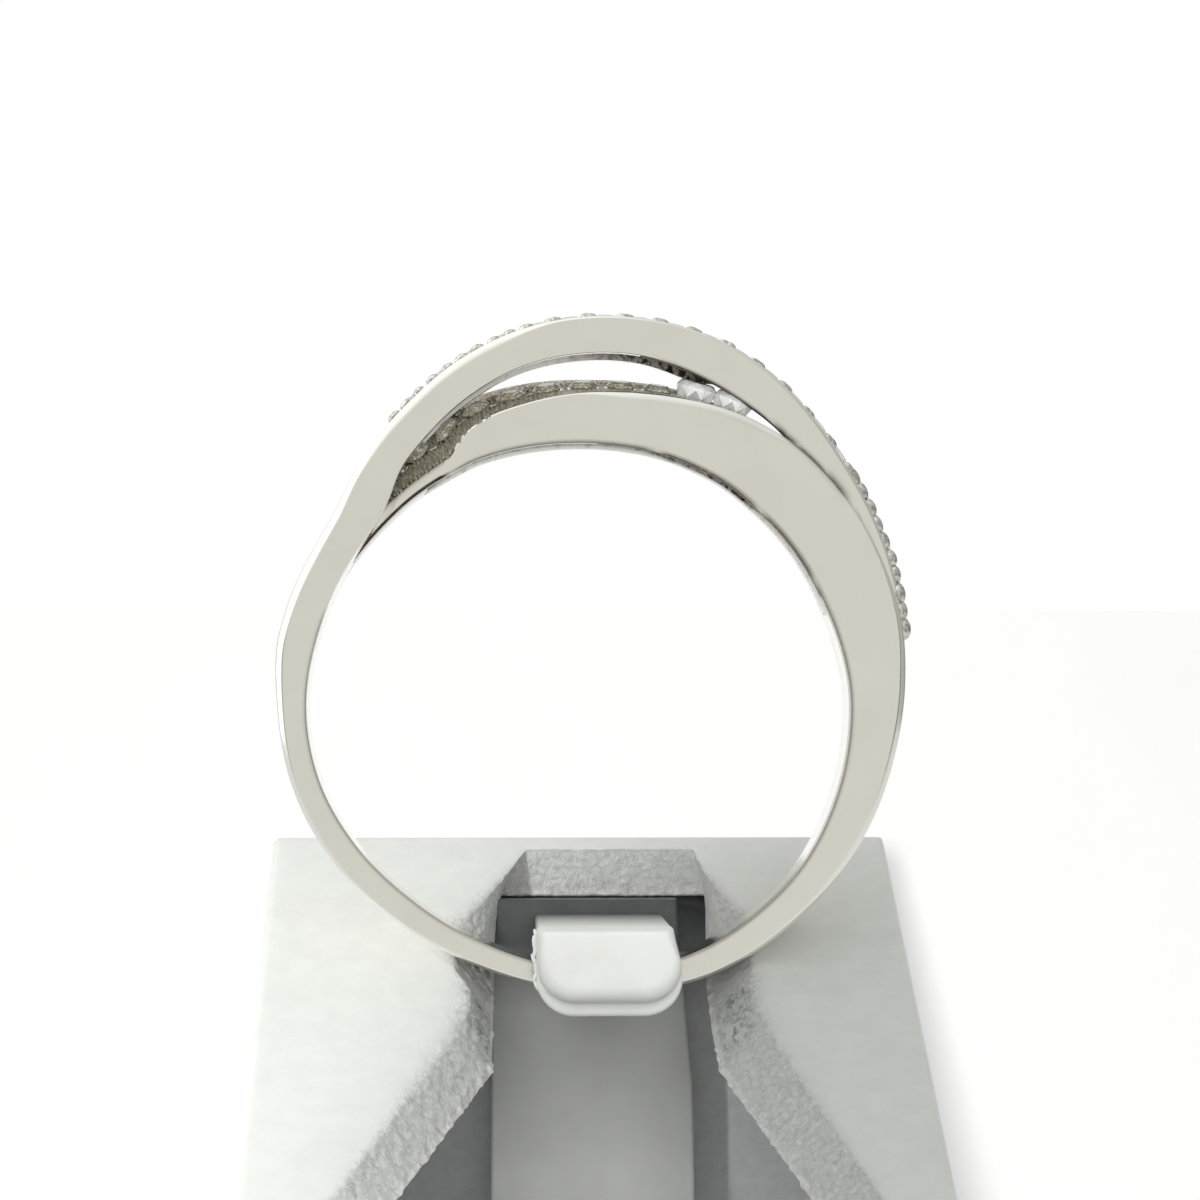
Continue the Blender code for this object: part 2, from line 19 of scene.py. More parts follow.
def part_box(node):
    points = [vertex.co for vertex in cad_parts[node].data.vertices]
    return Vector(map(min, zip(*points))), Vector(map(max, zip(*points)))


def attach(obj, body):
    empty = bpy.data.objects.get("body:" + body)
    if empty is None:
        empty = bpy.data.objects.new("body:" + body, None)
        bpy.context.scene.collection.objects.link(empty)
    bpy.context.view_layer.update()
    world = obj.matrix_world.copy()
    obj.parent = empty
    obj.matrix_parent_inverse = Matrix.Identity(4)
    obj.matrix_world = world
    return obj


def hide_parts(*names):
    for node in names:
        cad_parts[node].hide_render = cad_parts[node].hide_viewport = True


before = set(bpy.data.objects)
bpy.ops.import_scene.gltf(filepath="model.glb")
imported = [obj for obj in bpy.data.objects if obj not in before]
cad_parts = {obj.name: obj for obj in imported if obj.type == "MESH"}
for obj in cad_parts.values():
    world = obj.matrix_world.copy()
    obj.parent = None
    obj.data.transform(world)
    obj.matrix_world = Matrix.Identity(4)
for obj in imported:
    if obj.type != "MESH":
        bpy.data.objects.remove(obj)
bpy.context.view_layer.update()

LOG = logging.getLogger("crossover_ring")
MM = 0.001

Pair = tuple[float, float]
Triple = tuple[float, float, float]
Colour = tuple[float, float, float]
Piece = bpy.types.Object
Material = bpy.types.Material
Socket = bpy.types.NodeSocket
Faces = list[tuple[int, ...]]


class Slot(str, Enum):
    """The record's material slots."""

    SILVER = "polished_silver"
    STONE = "white_sapphire"
    COVER = "white_leatherette"
    PLASTIC = "white_plastic"


class Zone(IntEnum):
    """The stretches of a ribbon's skin that have a finish of their own."""

    POLISHED = 0
    DARK_EDGE = 1
    HOLLOW = 2
    BED = 3
    RIM = 4
    FRONT_CORNER = 5
    REAR_CORNER = 6


@dataclass(frozen=True)
class Bench:
    """Places the ring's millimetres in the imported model's metres."""

    offset: Triple

    @classmethod
    def from_stand(cls, left: float, back: float, floor: float) -> "Bench":
        """Find the bench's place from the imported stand.

        Args:
            left: Where the stand's left side lies, in the ring's frame.
            back: Where its back lies.
            floor: Where its foot lies.

        Returns:
            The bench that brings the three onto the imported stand's box.
        """
        low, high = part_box("stand_block")
        return cls((low.x / MM - left, high.y / MM - back, low.z / MM - floor))

    def metres(self, points: np.ndarray) -> np.ndarray:
        """Return points of the ring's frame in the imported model's metres."""
        return (np.asarray(points, dtype=float) + np.array(self.offset)) * MM

    def spot(self, x: float, y: float, z: float) -> Vector:
        """Return one point of the ring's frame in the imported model's metres."""
        return Vector(self.metres(np.array([x, y, z])))


class Nodes:
    """Short names for adding and joining the nodes of one tree."""

    def __init__(self, tree: bpy.types.NodeTree) -> None:
        """Keep the tree."""
        self.tree = tree

    def node(self, kind: str, **settings: object) -> bpy.types.Node:
        """Add a node and set its properties.

        Args:
            kind: The node's type.
            settings: Its properties.

        Returns:
            The node.
        """
        made = self.tree.nodes.new(kind)
        for name, value in settings.items():
            setattr(made, name, value)
        return made

    def link(self, source: Socket, target: Socket) -> None:
        """Join an output to an input."""
        self.tree.links.new(source, target)

    def ramp(self, value: Socket, stops: list[tuple[float, Colour]]) -> Socket:
        """Return the colour that a value has on a ramp of (place, colour) stops.

        Args:
            value: Where on the ramp to look.
            stops: Places and their colours.

        Returns:
            The colour.
        """
        made = self.node("ShaderNodeValToRGB")
        elements = made.color_ramp.elements
        while len(elements) < len(stops):
            elements.new(0.5)
        for element, (place, colour) in zip(elements, stops):
            element.position = place
            element.color = (*colour, 1.0)
        self.link(value, made.inputs["Fac"])
        return made.outputs["Color"]

    def remap(self, value: Socket, low: float, high: float, to_low: float, to_high: float) -> Socket:
        """Return a value carried from one range to another, held at its ends.

        Args:
            value: The value to carry over.
            low, high: The range that it comes from.
            to_low, to_high: The range that it goes to.

        Returns:
            The new value.
        """
        made = self.node("ShaderNodeMapRange")
        for name, number in (("From Min", low), ("From Max", high), ("To Min", to_low), ("To Max", to_high)):
            made.inputs[name].default_value = number
        self.link(value, made.inputs["Value"])
        return made.outputs["Result"]

    def blend(self, factor: Socket | float, first: Socket, second: Socket | Colour,
              how: str = "MIX") -> Socket:
        """Return the mix of two colours, the second of which may be a plain one.

        Args:
            factor: The share of the second colour.
            first, second: The two colours.
            how: How they are mixed.

        Returns:
            The mixed colour.
        """
        made = self.node("ShaderNodeMix", data_type="RGBA", blend_type=how)
        if isinstance(factor, float):
            made.inputs["Factor"].default_value = factor
        else:
            self.link(factor, made.inputs["Factor"])
        self.link(first, made.inputs["A"])
        if isinstance(second, tuple):
            made.inputs["B"].default_value = (*second, 1.0)
        else:
            self.link(second, made.inputs["B"])
        return made.outputs["Result"]


class Weave(Nodes):
    """The nodes of one material."""

    def __init__(self, name: str) -> None:
        """Start a material with an empty Principled shader.

        Args:
            name: The material's name.
        """
        self.material = bpy.data.materials.new(name)
        self.material.use_nodes = True
        super().__init__(self.material.node_tree)
        self.shader = self.tree.nodes["Principled BSDF"]
        self.place = self.node("ShaderNodeTexCoord").outputs["Object"]

    def set(self, **values: float | tuple[float, ...]) -> None:
        """Set the shader's own sockets, given by name with _ for a space."""
        for name, value in values.items():
            self.shader.inputs[name.replace("_", " ")].default_value = value

    def feed(self, name: str, source: Socket) -> None:
        """Join an output to one of the shader's own sockets."""
        self.link(source, self.shader.inputs[name])

    def stretched(self, source: Socket, scale: Triple) -> Socket:
        """Return coordinates scaled by a vector.

        Args:
            source: The coordinates.
            scale: The factors along x, y and z.

        Returns:
            The scaled coordinates.
        """
        mapping = self.node("ShaderNodeMapping")
        mapping.inputs["Scale"].default_value = scale
        self.link(source, mapping.inputs["Vector"])
        return mapping.outputs["Vector"]

    def grain(self, size: float, detail: float = 3.0, rough: float = 0.55, twist: float = 0.0,
              place: Socket | None = None) -> Socket:
        """Return a noise whose features are about one size.

        Args:
            size: The width of a feature, in millimetres.
            detail: How many finer layers it has.
            rough: How strong the finer layers are.
            twist: How much the noise is distorted.
            place: The coordinates in metres, or the object's own if left out.

        Returns:
            The noise's value, from 0 to 1.
        """
        texture = self.node("ShaderNodeTexNoise")
        texture.inputs["Scale"].default_value = 1.0 / (size * MM)
        texture.inputs["Detail"].default_value = detail
        texture.inputs["Roughness"].default_value = rough
        texture.inputs["Distortion"].default_value = twist
        self.link(place or self.place, texture.inputs["Vector"])
        return texture.outputs["Fac"]

    def cells(self, size: float, feature: str = "F1") -> Socket:
        """Return the distance field of cells of a size in millimetres.

        Args:
            size: The size of a cell in millimetres.
            feature: Which distance is taken.

        Returns:
            The distance.
        """
        texture = self.node("ShaderNodeTexVoronoi", feature=feature)
        texture.inputs["Scale"].default_value = 1.0 / (size * MM)
        self.link(self.place, texture.inputs["Vector"])
        return texture.outputs["Distance"]

    def attribute(self, name: str) -> Socket:
        """Return a value that the mesh stores at its points."""
        return self.node("ShaderNodeAttribute", attribute_name=name).outputs["Fac"]

    def math(self, operation: str, first: Socket, second: Socket | float) -> Socket:
        """Return the result of one operation on two values.

        Args:
            operation: The node's name for it.
            first, second: The two values.

        Returns:
            The result.
        """
        made = self.node("ShaderNodeMath", operation=operation)
        self.link(first, made.inputs[0])
        if isinstance(second, float):
            made.inputs[1].default_value = second
        else:
            self.link(second, made.inputs[1])
        return made.outputs[0]

    def relief(self, height: Socket, depth: float, strength: float = 1.0) -> None:
        """Raise the surface by a height, on top of any relief that it has.

        Args:
            height: The height, from 0 to 1.
            depth: What a height of 1 is, in millimetres.
            strength: How much of the relief shows.
        """
        made = self.node("ShaderNodeBump")
        made.inputs["Distance"].default_value = depth * MM
        made.inputs["Strength"].default_value = strength
        self.link(height, made.inputs["Height"])
        held = self.shader.inputs["Normal"]
        if held.is_linked:
            self.link(held.links[0].from_socket, made.inputs["Normal"])
        self.link(made.outputs["Normal"], held)


@dataclass(frozen=True)
class PolishedSilver:
    """Polished silver with a warm grey sheen, hairline scratches and faint clouding, darkened with painted
    shade where the mesh says so.
    """

    name: str = "polished_silver"
    light: Colour = (0.925, 0.915, 0.865)
    dull: Colour = (0.895, 0.885, 0.835)
    gloss: Pair = (0.13, 0.19)
    shade_colour: Colour = (0.030, 0.026, 0.022)
    brown: Colour = (0.105, 0.055, 0.042)

    def make(self) -> Material:
        """Build the material.

        Returns:
            The material.
        """
        weave = Weave(self.name)
        weave.set(Metallic=1.0)
        cloud = weave.grain(1.6, detail=4.0)
        clean = weave.ramp(cloud, [(0.35, self.dull), (0.65, self.light)])
        smear = weave.grain(0.30, detail=5.0, rough=0.7)
        # painted shade: a dark brown colour laid along edges and where the ribbons cross, by the share that
        # the mesh stores
        shade_colour = weave.ramp(smear, [(0.35, self.shade_colour), (0.65, self.brown)])
        share = weave.math("MULTIPLY", weave.attribute("stain_and_shade"), weave.remap(smear, 0.25, 0.5, 0.75, 1.0))
        weave.feed("Base Color", weave.blend(share, clean, shade_colour))
        mottle = weave.grain(0.5, detail=5.0)
        weave.feed("Roughness", weave.remap(mottle, 0.3, 0.7, *self.gloss))
        hair = weave.grain(0.05, detail=2.0, place=weave.stretched(weave.place, (0.15, 1.0, 1.0)))
        weave.relief(hair, 0.0012, 0.5)
        weave.relief(weave.grain(0.6, detail=2.0), 0.003, 0.5)
        return weave.material


@dataclass(frozen=True)
class DarkEdge:
    """A dark brownish finish laid along inner edges and some rims and corners of the ribbons."""

    name: str = "dark_edge"
    black: Colour = (0.020, 0.014, 0.010)
    brown: Colour = (0.085, 0.050, 0.032)
    grey: Colour = (0.15, 0.14, 0.10)

    def make(self) -> Material:
        """Build the material.

        Returns:
            The material.
        """
        weave = Weave(self.name)
        weave.set(Metallic=0.35, Roughness=0.5)
        patches = weave.grain(1.1, detail=5.0, rough=0.65, twist=0.4)
        colour = weave.ramp(patches, [(0.38, self.black), (0.50, self.brown), (0.66, self.grey)])
        weave.feed("Base Color", colour)
        weave.relief(weave.grain(0.05, detail=3.0), 0.006)
        return weave.material


@dataclass(frozen=True)
class CastHollow:
    """The unpolished hollow under a ribbon: grey cast metal, darkened with painted shade where the mesh says
    so.
    """

    name: str = "cast_hollow"
    black: Colour = (0.010, 0.009, 0.010)
    brown: Colour = (0.115, 0.075, 0.050)
    grey: Colour = (0.42, 0.41, 0.37)
    dull: Colour = (0.66, 0.65, 0.61)
    bright: Colour = (0.93, 0.92, 0.88)

    def make(self) -> Material:
        """Build the material.

        Returns:
            The material.
        """
        weave = Weave(self.name)
        weave.set(Metallic=0.3, Roughness=0.40)
        patches = weave.grain(0.28, detail=6.0, rough=0.7, twist=0.6)
        # painted shade: near black, brown and grey patches where the hollow lies in shade
        hollow_shade_tone = weave.ramp(patches, [(0.38, self.black), (0.46, self.brown), (0.53, self.grey)])
        clean = weave.ramp(patches, [(0.34, self.dull), (0.46, self.bright)])
        colour = weave.blend(weave.attribute("soot_and_shade"), clean, hollow_shade_tone)
        weave.feed("Base Color", colour)
        weave.relief(weave.grain(0.12, detail=5.0, rough=0.7), 0.012)
        return weave.material


@dataclass(frozen=True)
class StoneBed:
    """The cut bed of the stones: bright ridges across the row, with grime where the mesh says so."""

    name: str = "stone_bed"
    grime: Colour = (0.16, 0.13, 0.055)
    grey: Colour = (0.50, 0.465, 0.33)
    bright: Colour = (0.86, 0.85, 0.80)
    dull: Colour = (0.62, 0.61, 0.56)
    ridge: float = 0.16

    def make(self) -> Material:
        """Build the material.

        Returns:
            The material.
        """
        weave = Weave(self.name)
        weave.set(Metallic=0.3, Roughness=0.38)
        sweep = weave.node("ShaderNodeUVMap", uv_map="sweep").outputs["UV"]
        ridges = weave.grain(self.ridge * 0.6, detail=3.0, rough=0.6, twist=0.5,
                             place=weave.stretched(sweep, (1.0, 0.22, 1.0)))
        specks = weave.grain(0.09, detail=4.0, rough=0.7)
        mixed = weave.math("ADD", weave.math("MULTIPLY", ridges, 0.55), weave.math("MULTIPLY", specks, 0.45))
        grimy = weave.ramp(mixed, [(0.42, self.grime), (0.52, self.grey), (0.64, self.bright)])
        clean = weave.ramp(mixed, [(0.40, self.dull), (0.55, self.bright)])
        weave.feed("Base Color", weave.blend(weave.attribute("soot_and_shade"), clean, grimy))
        weave.relief(ridges, 0.05)
        weave.relief(specks, 0.02)
        return weave.material


@dataclass(frozen=True)
class GrainMetal:
    """The small beads: silver, mottled between a dull and a bright tone."""

    name: str = "grain_metal"
    bright: Colour = (0.80, 0.79, 0.75)
    dull: Colour = (0.42, 0.40, 0.35)

    def make(self) -> Material:
        """Build the material.

        Returns:
            The material.
        """
        weave = Weave(self.name)
        weave.set(Metallic=1.0, Roughness=0.26)
        cloud = weave.grain(0.14, detail=4.0, rough=0.65)
        colour = weave.ramp(cloud, [(0.38, self.dull), (0.56, self.bright)])
        weave.feed("Base Color", colour)
        weave.relief(weave.grain(0.07, detail=3.0), 0.008)
        return weave.material


@dataclass(frozen=True)
class ClearSapphire:
    """Colourless sapphire, with the faint veil that small stones have."""

    name: str = "clear_sapphire"
    tint: Colour = (0.95, 0.95, 0.93)
    veiled: Colour = (0.84, 0.85, 0.86)
    film: Colour = (0.30, 0.26, 0.14)

    def make(self) -> Material:
        """Build the material.

        Returns:
            The material.
        """
        weave = Weave(self.name)
        weave.set(IOR=1.77, Transmission_Weight=0.25)
        veil = weave.grain(0.3, detail=3.0)
        weave.feed("Roughness", weave.remap(veil, 0.45, 0.75, 0.01, 0.09))
        clear = weave.ramp(veil, [(0.3, self.tint), (0.8, self.veiled)])
        flecks = weave.remap(weave.grain(0.10, detail=5.0, rough=0.75), 0.46, 0.62, 1.0, 0.0)
        share = weave.math("MULTIPLY", weave.attribute("film"), flecks)
        weave.feed("Base Color", weave.blend(share, clear, self.film))
        return weave.material


@dataclass(frozen=True)
class Leatherette:
    """White leatherette: a fine pebble, creases where it is folded, grey scuffs, painted shade on the folded
    bevels and a paler torn lip, partly a painted highlight.
    """

    name: str = "leatherette"
    white: Colour = (0.86, 0.87, 0.84)
    shade: Colour = (0.82, 0.83, 0.80)
    shaded_tone: Colour = (0.82, 0.83, 0.81)
    torn: Colour = (0.97, 0.97, 0.96)
    scuff: Colour = (0.085, 0.095, 0.090)

    def make(self) -> Material:
        """Build the material.

        Returns:
            The material.
        """
        weave = Weave(self.name)
        weave.set(Roughness=0.62, Specular_IOR_Level=0.35)
        cloud = weave.grain(0.9, detail=6.0, rough=0.6)
        base = weave.ramp(cloud, [(0.35, self.shade), (0.62, self.white)])
        # painted shade: the folded bevels are drawn towards a greyer tone
        bevel_shade = weave.math("MULTIPLY", weave.attribute("crease"), 0.8)
        base = weave.blend(bevel_shade, base, weave.ramp(cloud, [(0.35, self.shaded_tone), (0.62, self.shade)]))
        smear = weave.grain(0.35, detail=6.0, rough=0.75, twist=0.8)
        # grey scuff marks where the mesh says so
        stain_and_shade = weave.math("MULTIPLY", weave.attribute("scuff"), weave.remap(smear, 0.40, 0.56, 0.0, 1.0))
        dark = weave.ramp(smear, [(0.4, self.shade), (0.7, self.scuff)])
        # paler colour along the torn lip: partly the torn edge and partly a painted highlight where the lip
        # catches the light
        torn = weave.math("MULTIPLY", weave.attribute("lip"), weave.remap(smear, 0.40, 0.52, 0.3, 1.0))
        cover = weave.blend(torn, weave.blend(stain_and_shade, base, dark), self.torn)
        weave.feed("Base Color", cover)
        weave.relief(weave.cells(0.11), 0.006, 0.6)
        weave.relief(weave.grain(0.05, detail=3.0), 0.005, 0.6)
        wrinkles = weave.grain(0.22, detail=5.0, rough=0.7, twist=1.2)
        weave.relief(weave.math("MULTIPLY", weave.attribute("crease"), wrinkles), 0.14)
        return weave.material


@dataclass(frozen=True)
class Lining:
    """The inside of the stand: bare grey board, painted near black as shade in a thin band just under the
    keyhole's edge.
    """

    name: str = "grey_board"
    pale: Colour = (0.70, 0.71, 0.71)
    deep: Colour = (0.62, 0.63, 0.63)
    gap_shade: Colour = (0.02, 0.02, 0.025)

    def make(self) -> Material:
        """Build the material.

        Returns:
            The material.
        """
        weave = Weave(self.name)
        weave.set(Roughness=0.8, Specular_IOR_Level=0.2)
        fibres = weave.grain(0.4, detail=6.0, rough=0.7)
        board = weave.ramp(fibres, [(0.35, self.deep), (0.65, self.pale)])
        # painted shade: near black in the band just under the keyhole's edge
        lining = weave.blend(weave.attribute("gap_shade"), board, self.gap_shade)
        weave.feed("Base Color", lining)
        weave.relief(weave.grain(0.08, detail=4.0), 0.01)
        return weave.material


@dataclass(frozen=True)
class WhitePlastic:
    """Moulded white plastic with a satin skin, painted dark grey as shade where the mesh says so."""

    name: str = "moulded_plastic"
    white: Colour = (0.84, 0.85, 0.82)
    grey: Colour = (0.78, 0.79, 0.76)
    slot_shade_colour: Colour = (0.060, 0.068, 0.067)

    def make(self) -> Material:
        """Build the material.

        Returns:
            The material.
        """
        weave = Weave(self.name)
        weave.set(Specular_IOR_Level=0.4, Subsurface_Weight=0.08, Subsurface_Scale=0.0006)
        cloud = weave.grain(1.8, detail=4.0)
        clean = weave.ramp(cloud, [(0.3, self.grey), (0.6, self.white)])
        # painted shade: dark grey over the strip's upper end inside the stand, where the slot lies in deep
        # shade
        paler = tuple(1.3 * part for part in self.slot_shade_colour)
        shaded_tone = weave.ramp(weave.grain(0.4, detail=5.0), [(0.3, self.slot_shade_colour), (0.8, paler)])
        weave.feed("Base Color", weave.blend(weave.attribute("slot_shade"), clean, shaded_tone))
        weave.feed("Roughness", weave.remap(weave.grain(0.5), 0.3, 0.7, 0.36, 0.48))
        weave.relief(weave.grain(0.7, detail=2.0), 0.012, 0.6)
        weave.relief(weave.grain(0.06, detail=3.0), 0.0015, 0.6)
        return weave.material


@dataclass(frozen=True)
class StudioPaper:
    """Plain white paper, which may be clear from behind."""

    name: str = "studio_paper"
    white: Colour = (0.92, 0.92, 0.92)
    one_sided: bool = False

    def make(self) -> Material:
        """Build the material.

        Returns:
            The material.
        """
        weave = Weave(self.name)
        weave.set(Roughness=0.9, Specular_IOR_Level=0.1)
        fibres = weave.grain(4.0, detail=4.0)
        dim = tuple(part * 0.99 for part in self.white)
        weave.feed("Base Color", weave.ramp(fibres, [(0.3, dim), (0.7, self.white)]))
        if self.one_sided:
            facing = weave.node("ShaderNodeNewGeometry").outputs["Backfacing"]
            weave.feed("Alpha", weave.remap(facing, 0.0, 1.0, 1.0, 0.0))
        return weave.material


def link_new(name: str, mesh: bpy.types.Mesh) -> Piece:
    """Return a new object of a mesh, linked to the scene.

    Args:
        name: The object's name.
        mesh: Its mesh.

    Returns:
        The object.
    """
    made = bpy.data.objects.new(name, mesh)
    bpy.context.scene.collection.objects.link(made)
    return made


def mesh_from(name: str, points: np.ndarray, faces: Faces, bench: Bench) -> Piece:
    """Make an object from points in the ring's frame.

    Args:
        name: The object's name.
        points: One row for each point, in millimetres.
        faces: The corners of each face.
        bench: Where the object goes.

    Returns:
        The new object, with smooth faces.
    """
    mesh = bpy.data.meshes.new(name)
    mesh.from_pydata(bench.metres(points).tolist(), [], faces)
    mesh.update()
    mesh.shade_smooth()
    return link_new(name, mesh)


def band_faces(loops: int, count: int, first: int = 0) -> Faces:
    """Return the quads that join closed loops of one length, laid one after another.

    Args:
        loops: How many loops there are.
        count: How many points each one has.
        first: The number of the first point.

    Returns:
        The faces.
    """
    faces = []
    for loop in range(loops - 1):
        start = first + loop * count
        for index in range(count):
            following = (index + 1) % count
            faces.append((start + index, start + following, start + count + following, start + count + index))
    return faces


def joined(name: str, copies: list[np.ndarray], faces: Faces, bench: Bench) -> Piece:
    """Make one mesh of many copies of a shape.

    Args:
        name: The object's name.
        copies: The points of each copy.
        faces: The faces of one copy.
        bench: Where the object goes.

    Returns:
        The new object.
    """
    size = len(copies[0])
    starts = range(0, size * len(copies), size)
    every = [tuple(start + corner for corner in face) for start in starts for face in faces]
    return mesh_from(name, np.vstack(copies), every, bench)


def skin(name: str, loops: np.ndarray, bench: Bench, capped: bool = True) -> Piece:
    """Make a closed skin from loops of points.

    Args:
        name: The object's name.
        loops: The points, as (loop, place in the loop, axis).
        bench: Where the object goes.
        capped: Whether both end loops are closed by a fan round their middle.

    Returns:
        The new object. Its first faces are the quads, loop by loop.
    """
    total, count, _ = loops.shape
    points = loops.reshape(-1, 3)
    faces = band_faces(total, count)
    if capped:
        middles = [loops[0].mean(axis=0), loops[-1].mean(axis=0)]
        points = np.vstack([points, middles])
        first, last = total * count, total * count + 1
        start = (total - 1) * count
        for index in range(count):
            following = (index + 1) % count
            faces.append((first, following, index))
            faces.append((last, start + index, start + following))
    return mesh_from(name, points, faces, bench)


def face_out(piece: Piece) -> None:
    """Turn every face of a closed piece outward.

    Args:
        piece: The closed piece.
    """
    shape = bmesh.new()
    shape.from_mesh(piece.data)
    bmesh.ops.recalc_face_normals(shape, faces=shape.faces)
    shape.to_mesh(piece.data)
    shape.free()


def dress(piece: Piece, stands_for: list[str], materials: list[Material]) -> None:
    """Give a piece its finishes, its body and the nodes that it stands for.

    Args:
        piece: The piece to dress.
        stands_for: The nodes that it stands for.
        materials: Its finishes, in order.
    """
    for material in materials:
        piece.data.materials.append(material)
    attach(piece, "root")
    if stands_for:
        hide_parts(*stands_for)
    LOG.info("%s: %d faces, for %s", piece.name, len(piece.data.polygons), ", ".join(stands_for) or "itself")


def transformed(points: np.ndarray, matrix: Matrix) -> np.ndarray:
    """Return points carried by a matrix."""
    values = np.array(matrix)
    return points @ values[:3, :3].T + values[:3, 3]


def unit_ball(sides: int, bands: int) -> np.ndarray:
    """Return the points of a ball of radius 1: rings from the top down, then both poles.

    Args:
        sides: Points in each ring.
        bands: Bands from pole to pole.

    Returns:
        The points.
    """
    points = []
    for band in range(1, bands):
        fall = math.pi * band / bands
        for side in range(sides):
            turn = 2 * math.pi * side / sides
            points.append((math.sin(fall) * math.cos(turn), math.sin(fall) * math.sin(turn), math.cos(fall)))
    return np.array(points + [(0, 0, 1), (0, 0, -1)])


def ball_quads(sides: int, bands: int) -> Faces:
    """Return the faces of unit_ball's points, turned outward.

    Args:
        sides: Points in each ring.
        bands: Bands from pole to pole.

    Returns:
        The faces.
    """
    faces = [tuple(reversed(face)) for face in band_faces(bands - 1, sides)]
    top, bottom = (bands - 1) * sides, (bands - 1) * sides + 1
    last = (bands - 2) * sides
    for side in range(sides):
        following = (side + 1) % sides
        faces.append((top, side, following))
        faces.append((bottom, last + following, last + side))
    return faces


def rising(values: np.ndarray, low: float, high: float) -> np.ndarray:
    """Return 0 at low and 1 at high, smooth between them; high may be the smaller one.

    Args:
        values: Where to take it.
        low: Where it is 0.
        high: Where it is 1.

    Returns:
        The shares from 0 to 1.
    """
    if low == high:
        return np.full(values.shape, low)
    t = np.clip((values - low) / (high - low), 0, 1)
    return t * t * (3 - 2 * t)


def wobble(points: np.ndarray, size: float, seed: float) -> np.ndarray:
    """Return a smooth value from -1 to 1 at each point, with features of a size."""
    shift = Vector((seed, seed * 1.7, seed * 2.3))
    return np.array([noise.noise(Vector(point) / size + shift) for point in points.reshape(-1, 3)])


def store(piece: Piece, name: str, values: np.ndarray) -> None:
    """Store a value at each point of a piece's mesh."""
    layer = piece.data.attributes.new(name, "FLOAT", "POINT")
    layer.data.foreach_set("value", values.astype(float))


def rounded_box(width: float, height: float, round_: float) -> np.ndarray:
    """Return a rectangle with rounded corners about the origin.

    Args:
        width, height: The size of the rectangle.
        round_: The radius of its corners.

    Returns:
        The outline's points.
    """
    places = []
    for first, (x, y) in zip((0, 90, 180, 270), ((1, 1), (-1, 1), (-1, -1), (1, -1))):
        for index in range(5):
            turn = math.radians(first + 22.5 * index)
            places.append((x * (width / 2 - round_) + round_ * math.cos(turn),
                           y * (height / 2 - round_) + round_ * math.sin(turn)))
    return np.array(places)


def evenly(outline: np.ndarray, count: int) -> np.ndarray:
    """Return a closed outline resampled at equal steps.

    Args:
        outline: The closed outline.
        count: How many points to give it.

    Returns:
        The new points.
    """
    closed = np.vstack([outline, outline[:1]])
    lengths = np.concatenate([[0.0], np.cumsum(np.linalg.norm(np.diff(closed, axis=0), axis=1))])
    marks = np.linspace(0.0, lengths[-1], count, endpoint=False)
    return np.column_stack([np.interp(marks, lengths, closed[:, axis]) for axis in range(2)])


def join_into(target: Piece, others: list[Piece]) -> None:
    """Join other pieces into one.

    Args:
        target: The piece that stays.
        others: The pieces that go into it.
    """
    with bpy.context.temp_override(active_object=target, object=target, selected_objects=[target] + others,
                                   selected_editable_objects=[target] + others):
        bpy.ops.object.join()


@dataclass(frozen=True)
class Section:
    """One cross-section of a ribbon.

    The angle is in degrees from +X towards +Z. The others are the inner radius, the outer
    radius at the front and at the rear edge, where the two faces lie along Y, and the
    radius of the outer corners.
    """

    angle: float
    inner: float
    outer_front: float
    outer_rear: float
    y_front: float
    y_rear: float
    corner: float


UPPER_SECTIONS = tuple(Section(*row) for row in (
    (272, 8.52, 9.27, 9.27, -1.50, 0.80, 0.12),
    (258, 8.34, 9.08, 9.08, -1.50, 0.80, 0.12),
    (245, 8.24, 9.02, 9.02, -1.50, 0.80, 0.12),
    (230, 8.27, 9.14, 9.14, -1.50, 0.80, 0.14),
    (212, 8.50, 9.42, 9.42, -1.50, 0.80, 0.18),
    (197, 8.72, 9.62, 9.62, -1.50, 0.80, 0.24),
    (180, 8.81, 9.77, 9.77, -1.50, 0.80, 0.32),
    (166, 8.74, 10.00, 10.00, -1.50, 0.80, 0.40),
    (155, 8.72, 10.00, 10.00, -1.50, 0.75, 0.42),
    (143, 8.74, 10.08, 10.10, -1.50, 0.70, 0.38),
    (133, 9.06, 10.56, 10.56, -1.50, 0.70, 0.32),
    (127, 9.58, 10.86, 10.86, -1.50, 0.70, 0.28),
    (120, 10.00, 11.22, 11.22, -1.50, 0.75, 0.22),
    (110, 10.60, 11.80, 11.80, -1.50, 0.80, 0.16),
    (100, 11.10, 12.28, 12.28, -1.50, 0.90, 0.12),
    (90, 11.38, 12.58, 12.58, -1.50, 1.05, 0.12),
    (80, 11.50, 12.72, 12.72, -1.45, 1.25, 0.12),
    (72, 11.40, 12.74, 12.76, -1.30, 1.45, 0.12),
    (62, 11.22, 12.56, 12.60, -1.10, 1.60, 0.12),
    (51, 10.97, 12.12, 12.22, -0.85, 1.70, 0.12),
    (42, 10.30, 11.76, 11.92, -0.60, 1.65, 0.12),
    (31, 9.20, 11.44, 11.60, -0.40, 1.55, 0.12),
    (22, 8.78, 11.20, 11.34, -0.35, 1.40, 0.12),
    (14, 8.70, 10.98, 11.06, -0.35, 1.25, 0.14),
    (6, 8.78, 10.72, 10.76, -0.35, 1.10, 0.20),
    (-2, 8.86, 10.48, 10.48, -0.35, 0.95, 0.26),
    (-12, 8.90, 10.12, 10.12, -0.40, 0.78, 0.26),
    (-25, 9.00, 9.80, 9.80, -0.60, 0.55, 0.20),
))

